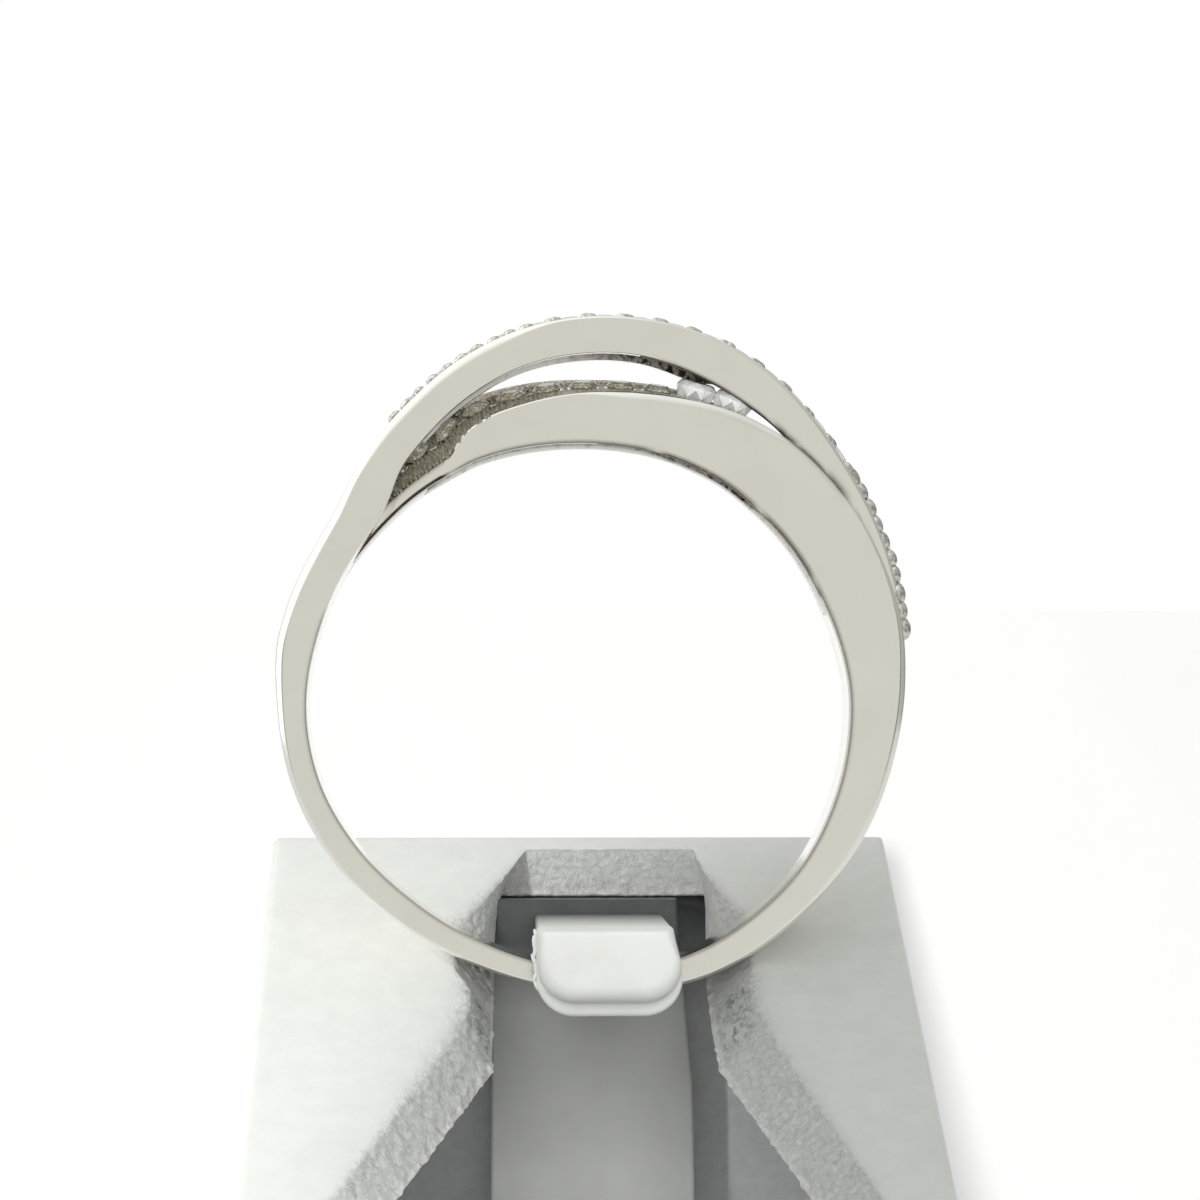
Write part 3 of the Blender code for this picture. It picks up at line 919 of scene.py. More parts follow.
LOWER_SECTIONS = tuple(Section(*row) for row in (
    (-93, 8.60, 9.18, 9.18, -1.42, 0.72, 0.12),
    (-88, 8.55, 9.24, 9.24, -1.47, 0.77, 0.12),
    (-76, 8.68, 9.48, 9.48, -1.50, 0.80, 0.12),
    (-63, 8.80, 9.71, 9.71, -1.50, 0.80, 0.14),
    (-50, 8.82, 9.84, 9.84, -1.50, 0.80, 0.18),
    (-36, 8.86, 9.99, 9.99, -1.50, 0.80, 0.22),
    (-22, 8.82, 10.20, 10.20, -1.50, 0.80, 0.26),
    (-8, 8.79, 10.38, 10.38, -1.50, 0.80, 0.28),
    (4, 8.76, 10.61, 10.61, -1.50, 0.75, 0.28),
    (14, 8.66, 10.80, 10.80, -1.50, 0.70, 0.22),
    (24, 8.58, 10.88, 10.88, -1.50, 0.65, 0.14),
    (36, 8.57, 10.96, 10.96, -1.50, 0.60, 0.10),
    (48, 8.56, 10.99, 10.97, -1.50, 0.75, 0.10),
    (57, 8.60, 10.87, 10.98, -1.50, 0.90, 0.10),
    (64, 8.58, 10.72, 11.00, -1.50, 1.00, 0.10),
    (72, 8.56, 10.49, 10.98, -1.50, 1.10, 0.10),
    (82, 8.50, 10.26, 10.86, -1.50, 1.20, 0.10),
    (90, 8.48, 10.13, 10.80, -1.50, 1.30, 0.10),
    (100, 8.51, 9.94, 10.82, -1.50, 1.45, 0.10),
    (109, 8.57, 9.76, 10.82, -1.42, 1.60, 0.10),
    (114, 8.60, 9.50, 10.79, -1.32, 1.68, 0.08),
    (118, 8.58, 9.10, 10.74, -1.20, 1.75, 0.06),
    (128, 8.62, 9.08, 10.58, -0.80, 1.80, 0.06),
    (138, 8.65, 9.10, 10.34, -0.35, 1.75, 0.06),
    (150, 8.74, 9.24, 10.02, -0.10, 1.50, 0.10),
    (166, 8.84, 9.36, 9.80, -0.10, 1.10, 0.10),
    (184, 8.98, 9.36, 9.42, -0.30, 0.60, 0.10),
))


@dataclass
class Path:
    """A ribbon's sections, read at any angle as one smooth sweep."""

    sections: tuple[Section, ...]
    angles: np.ndarray = field(init=False)
    sizes: np.ndarray = field(init=False)
    slopes: np.ndarray = field(init=False)

    def __post_init__(self) -> None:
        """Sort the sections and work out how fast each size changes at each of them."""
        rows = sorted(self.sections, key=lambda row: row.angle)
        self.angles = np.array([row.angle for row in rows], dtype=float)
        self.sizes = np.array([
            [row.inner, row.outer_front, row.outer_rear, row.y_front, row.y_rear, row.corner]
            for row in rows])
        steps = np.diff(self.sizes, axis=0) / np.diff(self.angles)[:, None]
        middle = (steps[:-1] + steps[1:]) / 2
        limit = 3 * np.minimum(np.abs(steps[:-1]), np.abs(steps[1:]))
        middle = np.where(steps[:-1] * steps[1:] > 0, np.clip(middle, -limit, limit), 0.0)
        self.slopes = np.vstack([steps[:1], middle, steps[-1:]])

    def at(self, angles: np.ndarray) -> np.ndarray:
        """Return the six sizes at each angle, one row for each.

        Args:
            angles: The angles in degrees.

        Returns:
            The sizes.
        """
        angles = np.atleast_1d(np.asarray(angles, dtype=float))
        index = np.clip(np.searchsorted(self.angles, angles) - 1, 0, len(self.angles) - 2)
        span = (self.angles[index + 1] - self.angles[index])[:, None]
        t = (angles - self.angles[index])[:, None] / span
        start = (1 + 2 * t) * (1 - t) ** 2 * self.sizes[index]
        end = t * t * (3 - 2 * t) * self.sizes[index + 1]
        leaving = t * (1 - t) ** 2 * span * self.slopes[index]
        arriving = t * t * (t - 1) * span * self.slopes[index + 1]
        return start + end + leaving + arriving

    def middle(self, angle: float) -> Vector:
        """Return the point halfway across the outer surface."""
        front, rear = self.edges(angle)
        return (front + rear) / 2

    def edges(self, angle: float) -> tuple[Vector, Vector]:
        """Return the front and the rear edge of the outer surface.

        Args:
            angle: The angle in degrees.

        Returns:
            The two points.
        """
        _, outer_front, outer_rear, y_front, y_rear, _ = self.at(angle)[0]
        turn = math.radians(angle)
        out = Vector((math.cos(turn), 0.0, math.sin(turn)))
        return out * outer_front + Vector((0, y_front, 0)), out * outer_rear + Vector((0, y_rear, 0))

    def seat(self, angle: float, lift: float = 0.0) -> Matrix:
        """Return the frame of a seat: X along the row, Y across it, Z outward.

        Args:
            angle: The angle in degrees.
            lift: How far outward the seat is moved.

        Returns:
            The frame.
        """
        front, rear = self.edges(angle)
        along = (self.middle(angle - 0.5) - self.middle(angle + 0.5)).normalized()
        outward = along.cross((rear - front).normalized()).normalized()
        if outward.dot(front) < 0:
            outward = -outward
        across = outward.cross(along).normalized()
        turn = Matrix((along, across, outward)).transposed().to_4x4()
        return Matrix.Translation((front + rear) / 2 + outward * lift) @ turn

    def spaced(self, first: float, last: float, count: int) -> list[float]:
        """Return the angles that part a stretch of the row into equal steps.

        Args:
            first, last: The angles at the ends.
            count: How many angles to return.

        Returns:
            The angles in degrees.
        """
        fine = np.linspace(first, last, 400)
        places = [self.middle(float(angle)) for angle in fine]
        lengths = np.cumsum([0.0] + [(b - a).length for a, b in zip(places, places[1:])])
        return [float(angle) for angle in np.interp(np.linspace(0.0, lengths[-1], count), lengths, fine)]


@dataclass
class StoneRow:
    """One row of stones along a ribbon, with the grains that hold them.

    The last stones of a row may stand a step higher than the rest. Stones are held by four
    small grains each, down to a first angle. In a beaded row larger beads, set closer, take
    over from there.
    """

    name: str
    path: Path
    first: float
    last: float
    count: int
    raised: int = 0
    raised_by: float = 0.30
    raised_scale: float = 1.34
    filmed: bool = False
    radius: float = 0.50
    table_radius: float = 0.30
    table_height: float = 0.15
    crown_radius: float = 0.41
    crown_height: float = 0.085
    girdle_half: float = 0.015
    pavilion_radius: float = 0.24
    pavilion_depth: float = 0.24
    culet_depth: float = 0.42
    plump_radii: Triple = (0.40, 0.465, 0.455)
    grain_size: Triple = (0.25, 0.20, 0.15)
    grain_aside: float = 0.62
    grain_apart: float = 0.07
    grain_spread: float = 0.275
    spread_from: float = 96.0
    grain_lift: float = 0.02
    grain_sides: int = 14
    grain_bands: int = 7
    seed: int = 7
    squeeze: float = 0.12
    nudge: float = 0.1
    grains_from: float = 40.0
    beaded: bool = True
    bead_pitch: float = 0.66
    bead_overrun: float = 2.0
    bead_size: Triple = (0.37, 0.32, 0.24)
    bead_aside: float = 0.55
    bead_lift: float = -0.02

    def angles(self) -> list[float]:
        """Return the angle of each stone."""
        return self.path.spaced(self.first, self.last, self.count)

    def seats(self) -> list[Matrix]:
        """Return the frame of each stone.

        Returns:
            The frames, from the first stone on.
        """
        frames = []
        for index, angle in enumerate(self.angles()):
            lift = self.raised_by if self.is_raised(index) else 0.0
            frames.append(self.path.seat(angle, lift))
        return frames

    def is_raised(self, index: int) -> bool:
        """Return whether a stone stands a step higher than the rest."""
        return index >= self.count - self.raised

    def brilliant(self, plump: bool) -> tuple[np.ndarray, Faces]:
        """Return the points and faces of one round brilliant about its own axis.

        Args:
            plump: Whether it is a raised stone with steep sides.

        Returns:
            The points and the faces.
        """
        slim = (self.table_radius, self.crown_radius, self.pavilion_radius)
        table_radius, crown_radius, pavilion_radius = self.plump_radii if plump else slim

        def ring(count: int, radius: float, height: float, shift: float) -> list[tuple[float, ...]]:
            """Return points round the axis at one height."""
            turns = [2 * math.pi * (index + shift) / count for index in range(count)]
            return [(radius * math.cos(turn), radius * math.sin(turn), height) for turn in turns]

        points = (ring(8, table_radius, self.table_height, 0.0)
                  + ring(8, crown_radius, self.crown_height, 0.5)
                  + ring(16, self.radius, self.girdle_half, 0.0)
                  + ring(16, self.radius, -self.girdle_half, 0.0)
                  + ring(8, pavilion_radius, -self.pavilion_depth, 0.5)
                  + [(0.0, 0.0, -self.culet_depth)])
        table, crown, upper, lower, pavilion, culet = 0, 8, 16, 32, 48, 56
        faces: Faces = [tuple(range(8))]
        for index in range(8):
            following = (index + 1) % 8
            before = (index - 1) % 8
            edge, half, next_edge = 2 * index, 2 * index + 1, (2 * index + 2) % 16
            faces.append((table + index, crown + index, table + following))
            faces.append((table + index, crown + before, upper + edge, crown + index))
            faces.append((crown + index, upper + edge, upper + half))
            faces.append((crown + index, upper + half, upper + next_edge))
            faces.append((pavilion + index, lower + half, lower + edge))
            faces.append((pavilion + index, lower + next_edge, lower + half))
            faces.append((culet, pavilion + index, lower + edge, pavilion + before))
        for index in range(16):
            following = (index + 1) % 16
            faces.append((upper + index, lower + index, lower + following, upper + following))
        return np.array(points), faces

    def build_stones(self, bench: Bench) -> Piece:
        """Build the row's stones as one joined mesh.

        Args:
            bench: The frame of the part.

        Returns:
            The stones.
        """
        copies = []
        for index, seat in enumerate(self.seats()):
            shape, faces = self.brilliant(self.is_raised(index))
            copies.append(transformed(shape * (self.raised_scale if self.is_raised(index) else 1.0), seat))
        made = joined(f"{self.name}_stones", copies, faces, bench)
        made.data.shade_flat()
        face_out(made)
        clean = [not self.filmed or self.is_raised(index) for index in range(self.count)]
        store(made, "film", np.repeat(np.where(clean, 0.0, 1.0), len(shape)))
        return made

    def grain_places(self) -> list[Matrix]:
        """Return the frame of each grain and bead, scaled to its size.

        Returns:
            The frames.
        """
        angles = self.angles()
        ends = [2 * angles[0] - angles[1]] + angles + [2 * angles[-1] - angles[-2]]
        places = []
        for before, after in zip(ends, ends[1:]):
            middle = (before + after) / 2
            if middle < self.grains_from:
                continue
            seat = self.path.seat(middle)
            apart = self.grain_spread if middle > self.spread_from else self.grain_apart
            for side in (-1, 1):
                for along in (-1, 1):
                    shift = Vector((along * apart, side * self.grain_aside, self.grain_lift))
                    places.append(seat @ Matrix.LocRotScale(shift, None, Vector(self.grain_size)))
        if self.beaded:
            length = (self.path.middle(self.grains_from) - self.path.middle(self.last)).length
            count = round(length / self.bead_pitch) + 2
            for angle in self.path.spaced(self.grains_from, self.last - self.bead_overrun, count):
                seat = self.path.seat(angle)
                for side in (-1, 1):
                    shift = Vector((0.0, side * self.bead_aside, self.bead_lift))
                    places.append(seat @ Matrix.LocRotScale(shift, None, Vector(self.bead_size)))
        return places

    def build_grains(self, bench: Bench) -> Piece:
        """Build the row's grains as one joined mesh of small domes.

        Args:
            bench: The frame of the part.

        Returns:
            The grains.
        """
        random = np.random.default_rng(self.seed)
        dome = unit_ball(self.grain_sides, self.grain_bands)
        copies = []
        for place in self.grain_places():
            squeeze = 1.0 + random.uniform(-self.squeeze, self.squeeze, 3)
            nudge = np.append(random.uniform(-self.nudge, self.nudge, 2), 0.0)
            copies.append(transformed(dome * squeeze + nudge, place))
        return joined(f"{self.name}_grains", copies, ball_quads(self.grain_sides, self.grain_bands), bench)


@dataclass(frozen=True)
class EdgeShade:
    """A painted shade that lies along an edge of a ribbon's face between two angles."""

    ends: Pair
    reach: float
    depth: float = 1.0
    fade: float = 3.0
    outer: bool = False
    under: bool = False

    def share(self, angles: np.ndarray, away: np.ndarray) -> np.ndarray:
        """Return how strong the painted shade is at each point.

        Args:
            angles: The sections' angles.
            away: How far each point lies from the edge.

        Returns:
            A share from 0 to 1 for each point.
        """
        low, high = self.ends
        along = rising(angles, low - self.fade, low + self.fade)
        along = along * rising(angles, high + self.fade, high - self.fade)
        return self.depth * np.exp(-(np.maximum(away, 0.0) / self.reach) ** 2) * along[:, None]


@dataclass
class RibbonMetal:
    """The metal of one ribbon: polished faces, a cut bed for the stones and a hollow below."""

    name: str
    path: Path
    row: StoneRow
    hollow: Pair
    bed: Pair
    wall: float = 0.38
    plate: float = 0.62
    hollow_run: float = 6.0
    edge: float = 0.04
    edge_cuts: int = 4
    rim_cuts: int = 3
    shallowest: float = 0.02
    roof_slant: float = 0.8
    step: float = 1.0
    fine_step: float = 0.28
    face_cuts: int = 16
    corner_cuts: int = 8
    top_cuts: int = 38
    wall_cuts: int = 5
    lip_cuts: tuple[float, ...] = (0.04, 0.08, 0.12, 0.18)
    roof_cuts: int = 10
    bed_half: float = 0.66
    bed_depth: float = 0.07
    bed_reach: float = 1.1
    bed_fade: Pair = (0.15, 0.06)
    seat_depth: float = 0.44
    seat_play: float = 0.03
    seat_tip: float = 0.10
    seat_step: float = 0.05
    soft_ends: Pair = (0.0, 0.0)
    soft_size: Pair = (0.36, 0.155)
    soft_profile: tuple[Pair, ...] = (
        (0.0, 0.0), (0.12, 0.02), (0.26, 0.085), (0.41, 0.19), (0.56, 0.315), (0.70, 0.44), (0.83, 0.575),
        (0.94, 0.77), (1.0, 1.0))
    soft_fade: Pair = (8.0, 4.0)
    rear_lift: float = 0.0
    dark_rim: Pair = (0.0, 0.0)
    dark_front: Pair = (0.0, 0.0)
    dark_rear: Pair = (0.0, 0.0)
    # The hollow's painted shade, rising between two angles; grime on the stone bed, rising between two
    # angles; painted shade deep in the hollow, as rows of (angle, depth where it starts, depth where it is
    # full, share).
    soot_and_shade: Pair = (0.0, 0.0)
    bed_soot: Pair = (0.0, 0.0)
    deep_hollow_shade: tuple[tuple[float, float, float, float], ...] = ()
    edge_shades: tuple[EdgeShade, ...] = ()
    passes: Path | None = None
    lift_ends: tuple[Pair, Pair] = ((71.0, 65.0), (44.0, 50.0))
    sweep_radius: float = 10.0
    pass_gap: float = 0.07
    pass_below: float = 90.0
    under_rise: float = 0.09
    front_part: float = 0.6
    far: float = 9.0

    def sweep_angles(self) -> np.ndarray:
        """Return the angles of the sections: close together along the stones.

        Returns:
            The angles in degrees.
        """
        low, high = self.path.angles[0], self.path.angles[-1]
        start = max(low, min(self.row.first, self.row.last) - 4.0)
        end = min(high, max(self.row.first, self.row.last) + 6.0)
        parts = [np.arange(low, start, self.step), np.arange(start, end, self.fine_step),
                 np.arange(end, high, self.step), np.array([high])]
        return np.concatenate(parts)

    def depth_of_hollow(self, angles: np.ndarray) -> np.ndarray:
        """Return how far the hollow is cut at each angle, from 0 to 1.

        Args:
            angles: The angles in degrees.

        Returns:
            The shares.
        """
        low, high = self.hollow
        rise = np.clip((angles - low) / self.hollow_run, 0, 1)
        rise = rise * np.clip((high - angles) / self.hollow_run, 0, 1)
        return rise * rise * (3 - 2 * rise)

    def lift_of_rear_edge(self, angles: np.ndarray) -> np.ndarray:
        """Return how much further out the inner edge lies at the rear than at the front.

        Args:
            angles: The angles in degrees.

        Returns:
            The lifts in millimetres.
        """
        if not self.rear_lift:
            return np.zeros(len(angles))
        high, low = self.lift_ends
        return self.rear_lift * rising(angles, *high) * rising(angles, *low)

    def outline(self, angles: np.ndarray) -> tuple[np.ndarray, list[Zone]]:
        """Return the outline of each section in (y, radius), and the zone of each of its stretches.

        Args:
            angles: The angles in degrees.

        Returns:
            The outlines and the zones.
        """
        inner, front, rear, y_front, y_rear, round_ = self.path.at(angles).T
        edge = self.edge
        cut = self.depth_of_hollow(angles)
        roof_rise = cut * np.maximum(np.minimum(front, rear) - self.plate - inner, self.shallowest)
        slant = np.maximum(rear - front, 0.0) * self.roof_slant * cut
        points: list[np.ndarray] = []
        zones: list[Zone] = []

        def put(y: np.ndarray, radius: np.ndarray, zone: Zone) -> None:
            """Add one point, and the zone of the stretch that starts there."""
            points.append(np.stack(np.broadcast_arrays(y, radius), axis=-1))
            zones.append(zone)

        def arc(y: np.ndarray, radius: np.ndarray, size: np.ndarray | float, first: float, cuts: int,
                zone: Zone) -> None:
            """Add a quarter turn.

            Args:
                y, radius: Its middle.
                size: Its radius.
                first: Its first direction in degrees.
                cuts: How many steps it has.
                zone: The finish of its stretches.
            """
            for index in range(cuts + 1):
                turn = math.radians(first - 90.0 * index / cuts)
                put(y + size * math.cos(turn), radius + size * math.sin(turn), zone)

        def run(start: tuple[np.ndarray, np.ndarray], end: tuple[np.ndarray, np.ndarray], cuts: int,
                zone: Zone) -> None:
            """Add the points that cut a straight stretch, without its two ends.

            Args:
                start, end: Its ends in (y, radius).
                cuts: How many steps it has.
                zone: Its finish.
            """
            for index in range(1, cuts):
                t = index / cuts
                put(start[0] + (end[0] - start[0]) * t, start[1] + (end[1] - start[1]) * t, zone)

        arc(y_front + edge, inner + edge, edge, 270.0, self.edge_cuts, Zone.POLISHED)
        low, high = self.soft_ends
        away, into = self.soft_fade
        soft = rising(angles, low - away, low + into) * rising(angles, high + away, high - into)
        fall = round_ + (self.soft_size[0] - round_) * soft
        deep = round_ + (self.soft_size[1] - round_) * soft
        run((y_front, inner + edge), (y_front, front - fall), self.face_cuts, Zone.POLISHED)
        for index, (out, back) in enumerate(self.soft_profile):
            turn = math.radians(90.0 * index / (len(self.soft_profile) - 1))
            put(y_front + deep * (1 - math.cos(turn) + (back - 1 + math.cos(turn)) * soft),
                front - fall + fall * (math.sin(turn) + (out - math.sin(turn)) * soft), Zone.FRONT_CORNER)
        zones[-1] = Zone.BED
        run((y_front + deep, front), (y_rear - round_, rear), self.top_cuts, Zone.BED)
        arc(y_rear - round_, rear - round_, round_, 90.0, self.corner_cuts, Zone.REAR_CORNER)
        zones[-1] = Zone.POLISHED
        inner_rear = inner + self.lift_of_rear_edge(angles)
        run((y_rear, rear - round_), (y_rear, inner_rear + edge), self.face_cuts, Zone.POLISHED)
        arc(y_rear - edge, inner_rear + edge, edge, 0.0, self.edge_cuts, Zone.POLISHED)
        inside_rear, inside_front = y_rear - self.wall, y_front + self.wall
        rear_rise = inner_rear - inner - self.shallowest
        inner_lip = np.minimum(inner_rear, inner + np.maximum(roof_rise, rear_rise))
        run((y_rear - edge, inner_rear), (inside_rear, inner_lip), self.rim_cuts, Zone.POLISHED)
        put(inside_rear, inner_lip, Zone.HOLLOW)
        roof = inner + roof_rise + slant
        for height in self.lip_cuts:
            put(inside_rear, np.minimum(inner_lip + height, roof), Zone.HOLLOW)
        lip_top = np.minimum(inner_lip + self.lip_cuts[-1], roof)
        run((inside_rear, lip_top), (inside_rear, roof), self.wall_cuts, Zone.HOLLOW)
        put(inside_rear, roof, Zone.HOLLOW)
        run((inside_rear, roof), (inside_front, inner + roof_rise), self.roof_cuts, Zone.HOLLOW)
        put(inside_front, inner + roof_rise, Zone.HOLLOW)
        run((inside_front, inner + roof_rise), (inside_front, inner), self.wall_cuts, Zone.HOLLOW)
        put(inside_front, inner, Zone.RIM)
        run((inside_front, inner), (y_front + edge, inner), self.rim_cuts, Zone.RIM)
        return np.stack(points, axis=1), zones

    def carve(self, loops: np.ndarray, zones: list[Zone], angles: np.ndarray) -> np.ndarray:
        """Sink the bed and the seats into the outer surface.

        Args:
            loops: The skin's points, which are moved.
            zones: The zone of each stretch of a section.
            angles: The sections' angles.

        Returns:
            Which points of the skin lie in a stone's seat.
        """
        top = np.array([zone is Zone.BED for zone in zones])
        shaped = loops[:, top].reshape(-1, 3)
        nearest = np.full(len(shaped), self.far)
        aside = np.full(len(shaped), self.far)
        outward = np.zeros_like(shaped)
        for seat in self.row.seats():
            local = transformed(shaped, seat.inverted())
            reach = np.hypot(local[:, 0], local[:, 1])
            near = (reach < nearest) & (np.abs(local[:, 2]) < 1.0)
            nearest = np.where(near, reach, nearest)
            aside = np.where(near, np.abs(local[:, 1]), aside)
            outward[near] = np.array(seat.to_3x3().col[2])
        room = np.clip((self.bed_reach - nearest) / self.bed_fade[0], 0, 1)
        depth = self.bed_depth * np.clip((self.bed_half - aside) / self.bed_fade[1], 0, 1) * room
        wide = self.row.radius + self.seat_play
        cone = np.clip((wide - nearest) / (wide - self.seat_tip), 0, 1) * self.seat_depth
        depth = np.maximum(depth, np.where(nearest < wide, self.seat_step + cone, 0.0))
        shaped = shaped - outward * depth[:, None]
        loops[:, top] = shaped.reshape(len(angles), -1, 3)
        seated = np.zeros(loops.shape[:2], dtype=bool)
        seated[:, top] = (nearest < wide).reshape(len(angles), -1)
        return seated

    def build(self, bench: Bench) -> Piece:
        """Build the ribbon's metal.

        Args:
            bench: The frame of the part.

        Returns:
            The metal.
        """
        angles = self.sweep_angles()
        outline, zones = self.outline(angles)
        turn = np.radians(angles)[:, None]
        y, radius = outline[..., 0], outline[..., 1]
        loops = np.stack([radius * np.cos(turn), y, radius * np.sin(turn)], axis=-1)
        seated = self.carve(loops, zones, angles)
        made = skin(self.name, loops, bench)
        self.mark(made, angles, zones, seated)
        self.lay_out(made, angles, zones, outline)
        face_out(made)
        return made

    def mark(self, made: Piece, angles: np.ndarray, zones: list[Zone], seated: np.ndarray) -> None:
        """Give each face the finish of its zone.

        Args:
            made: The ribbon.
            angles: The sections' angles.
            zones: The zone of each stretch of a section.
            seated: Which points lie in a stone's seat.
        """
        stretches = {
            Zone.RIM: (self.dark_rim, Zone.DARK_EDGE),
            Zone.FRONT_CORNER: (self.dark_front, Zone.DARK_EDGE),
            Zone.REAR_CORNER: (self.dark_rear, Zone.DARK_EDGE),
            Zone.BED: (self.bed, Zone.BED),
            Zone.HOLLOW: (self.hollow, Zone.HOLLOW),
        }
        marks = []
        for loop in range(len(angles) - 1):
            finish = {zone: special if ends[0] <= angles[loop] < ends[1] else Zone.POLISHED
                      for zone, (ends, special) in stretches.items()}
            for place, zone in enumerate(zones):
                marks.append(int(Zone.POLISHED if seated[loop, place] else finish.get(zone, zone)))
        caps = len(made.data.polygons) - len(marks)
        made.data.polygons.foreach_set("material_index", marks + [0] * caps)

    def lay_out(self, made: Piece, angles: np.ndarray, zones: list[Zone],
                outline: np.ndarray) -> None:
        """Store each corner's place on the sweep, and each point's shares of dark tone, which is painted
        shade in the hollow and grime in the bed, and of painted edge shade.

        Args:
            made: The ribbon.
            angles: The sections' angles.
            zones: The zone of each stretch of a section.
            outline: The sections' points in (y, radius).
        """
        along = np.radians(angles)[:, None] * self.sweep_radius + np.zeros(outline.shape[1])[None, :]
        sweep = np.stack([along, outline[..., 0]], axis=-1).reshape(-1, 2) * MM
        sweep = np.vstack([sweep, np.zeros((2, 2))])
        corners = np.zeros(len(made.data.loops), dtype=int)
        made.data.loops.foreach_get("vertex_index", corners)
        layer = made.data.uv_layers.new(name="sweep")
        layer.data.foreach_set("uv", sweep[corners].ravel())
        # painted shade in the hollow, by angle and by depth, and grime on the stone bed
        hollow_shade = rising(angles, *self.soot_and_shade)[:, None]
        if self.deep_hollow_shade:
            at, *columns = np.array(self.deep_hollow_shade).T
            start, full, share = (np.interp(angles, at, column)[:, None] for column in columns)
            depth = outline[..., 1] - self.path.at(angles)[:, :1]
            hollow_shade = np.maximum(hollow_shade, np.clip((depth - start) / (full - start), 0, 1) * share)
        bed_soot = rising(angles, *self.bed_soot)[:, None]
        in_bed = np.array([zone is Zone.BED for zone in zones])[None, :]
        store(made, "soot_and_shade", np.append(np.where(in_bed, bed_soot, hollow_shade).ravel(), [0.0, 0.0]))
        inner, front = self.path.at(angles)[:, 0], self.path.at(angles)[:, 1]
        crossing = self.passes.at(angles)[:, 1] + self.pass_gap if self.passes else inner
        shown_from = np.where(angles < self.pass_below, np.maximum(inner, crossing), inner)
        # painted shade: darkest at the chosen edges and fading away from them
        stain_and_shade = np.zeros(outline.shape[:2])
        for mark in self.edge_shades:
            away = front[:, None] - outline[..., 1] if mark.outer else outline[..., 1] - shown_from[:, None]
            back = outline[..., 0] - outline[..., 0].min(axis=1, keepdims=True)
            if mark.under:
                away = np.where(outline[..., 1] < inner[:, None] + self.under_rise, back, self.far)
            else:
                away = np.where(back < self.front_part, away, self.far)
            stain_and_shade = np.maximum(stain_and_shade, mark.share(angles, away))
        store(made, "stain_and_shade", np.append(stain_and_shade.ravel(), [0.0, 0.0]))


# Painted shade along the upper ribbon's edges: dark where the lower ribbon crosses in front of it, and a thin
# line along its inner edge low on the left.
CROSSING_SHADES = (
    EdgeShade((56.0, 76.0), 0.05),
    EdgeShade((50.0, 55.0), 0.13, fade=2.0),
    EdgeShade((43.0, 50.0), 0.085, 0.95, fade=2.0),
    EdgeShade((37.5, 43.0), 0.15, 0.9, fade=2.0),
    EdgeShade((31.0, 38.0), 0.06, 0.5),
    EdgeShade((160.0, 268.0), 0.08, 0.50),
)
# Painted shade deep in the lower ribbon's hollow: (angle, depth where it starts, depth where it is full,
# share).
LOWER_HOLLOW_SHADE = (
    (20.0, 0.12, 0.18, 0.4), (46.0, 0.12, 0.18, 0.5), (50.0, 0.04, 0.08, 1.0), (66.0, 0.04, 0.08, 1.0),
    (76.0, 0.08, 0.14, 0.75), (118.0, 0.10, 0.16, 0.6), (126.0, 0.04, 0.10, 1.0))
# Painted shade along the lower ribbon's edges: where it meets the upper ribbon, along its inner edge, and
# under and beside its inner edge on the left.
LOWER_EDGE_SHADES = (
    EdgeShade((38.0, 52.0), 0.075, 0.95, outer=True, fade=2.0),
    EdgeShade((-72.0, 28.0), 0.08, 0.75),
    EdgeShade((28.0, 46.0), 0.08, 0.95),
    EdgeShade((48.0, 72.0), 0.060, fade=2.0),
    EdgeShade((74.0, 119.0), 0.070, 0.75, fade=3.0),
    EdgeShade((119.5, 156.0), 1.35, fade=1.5, under=True),
    EdgeShade((119.5, 149.0), 0.07, fade=1.5),
    EdgeShade((119.5, 149.0), 0.11, outer=True, fade=1.5),
)


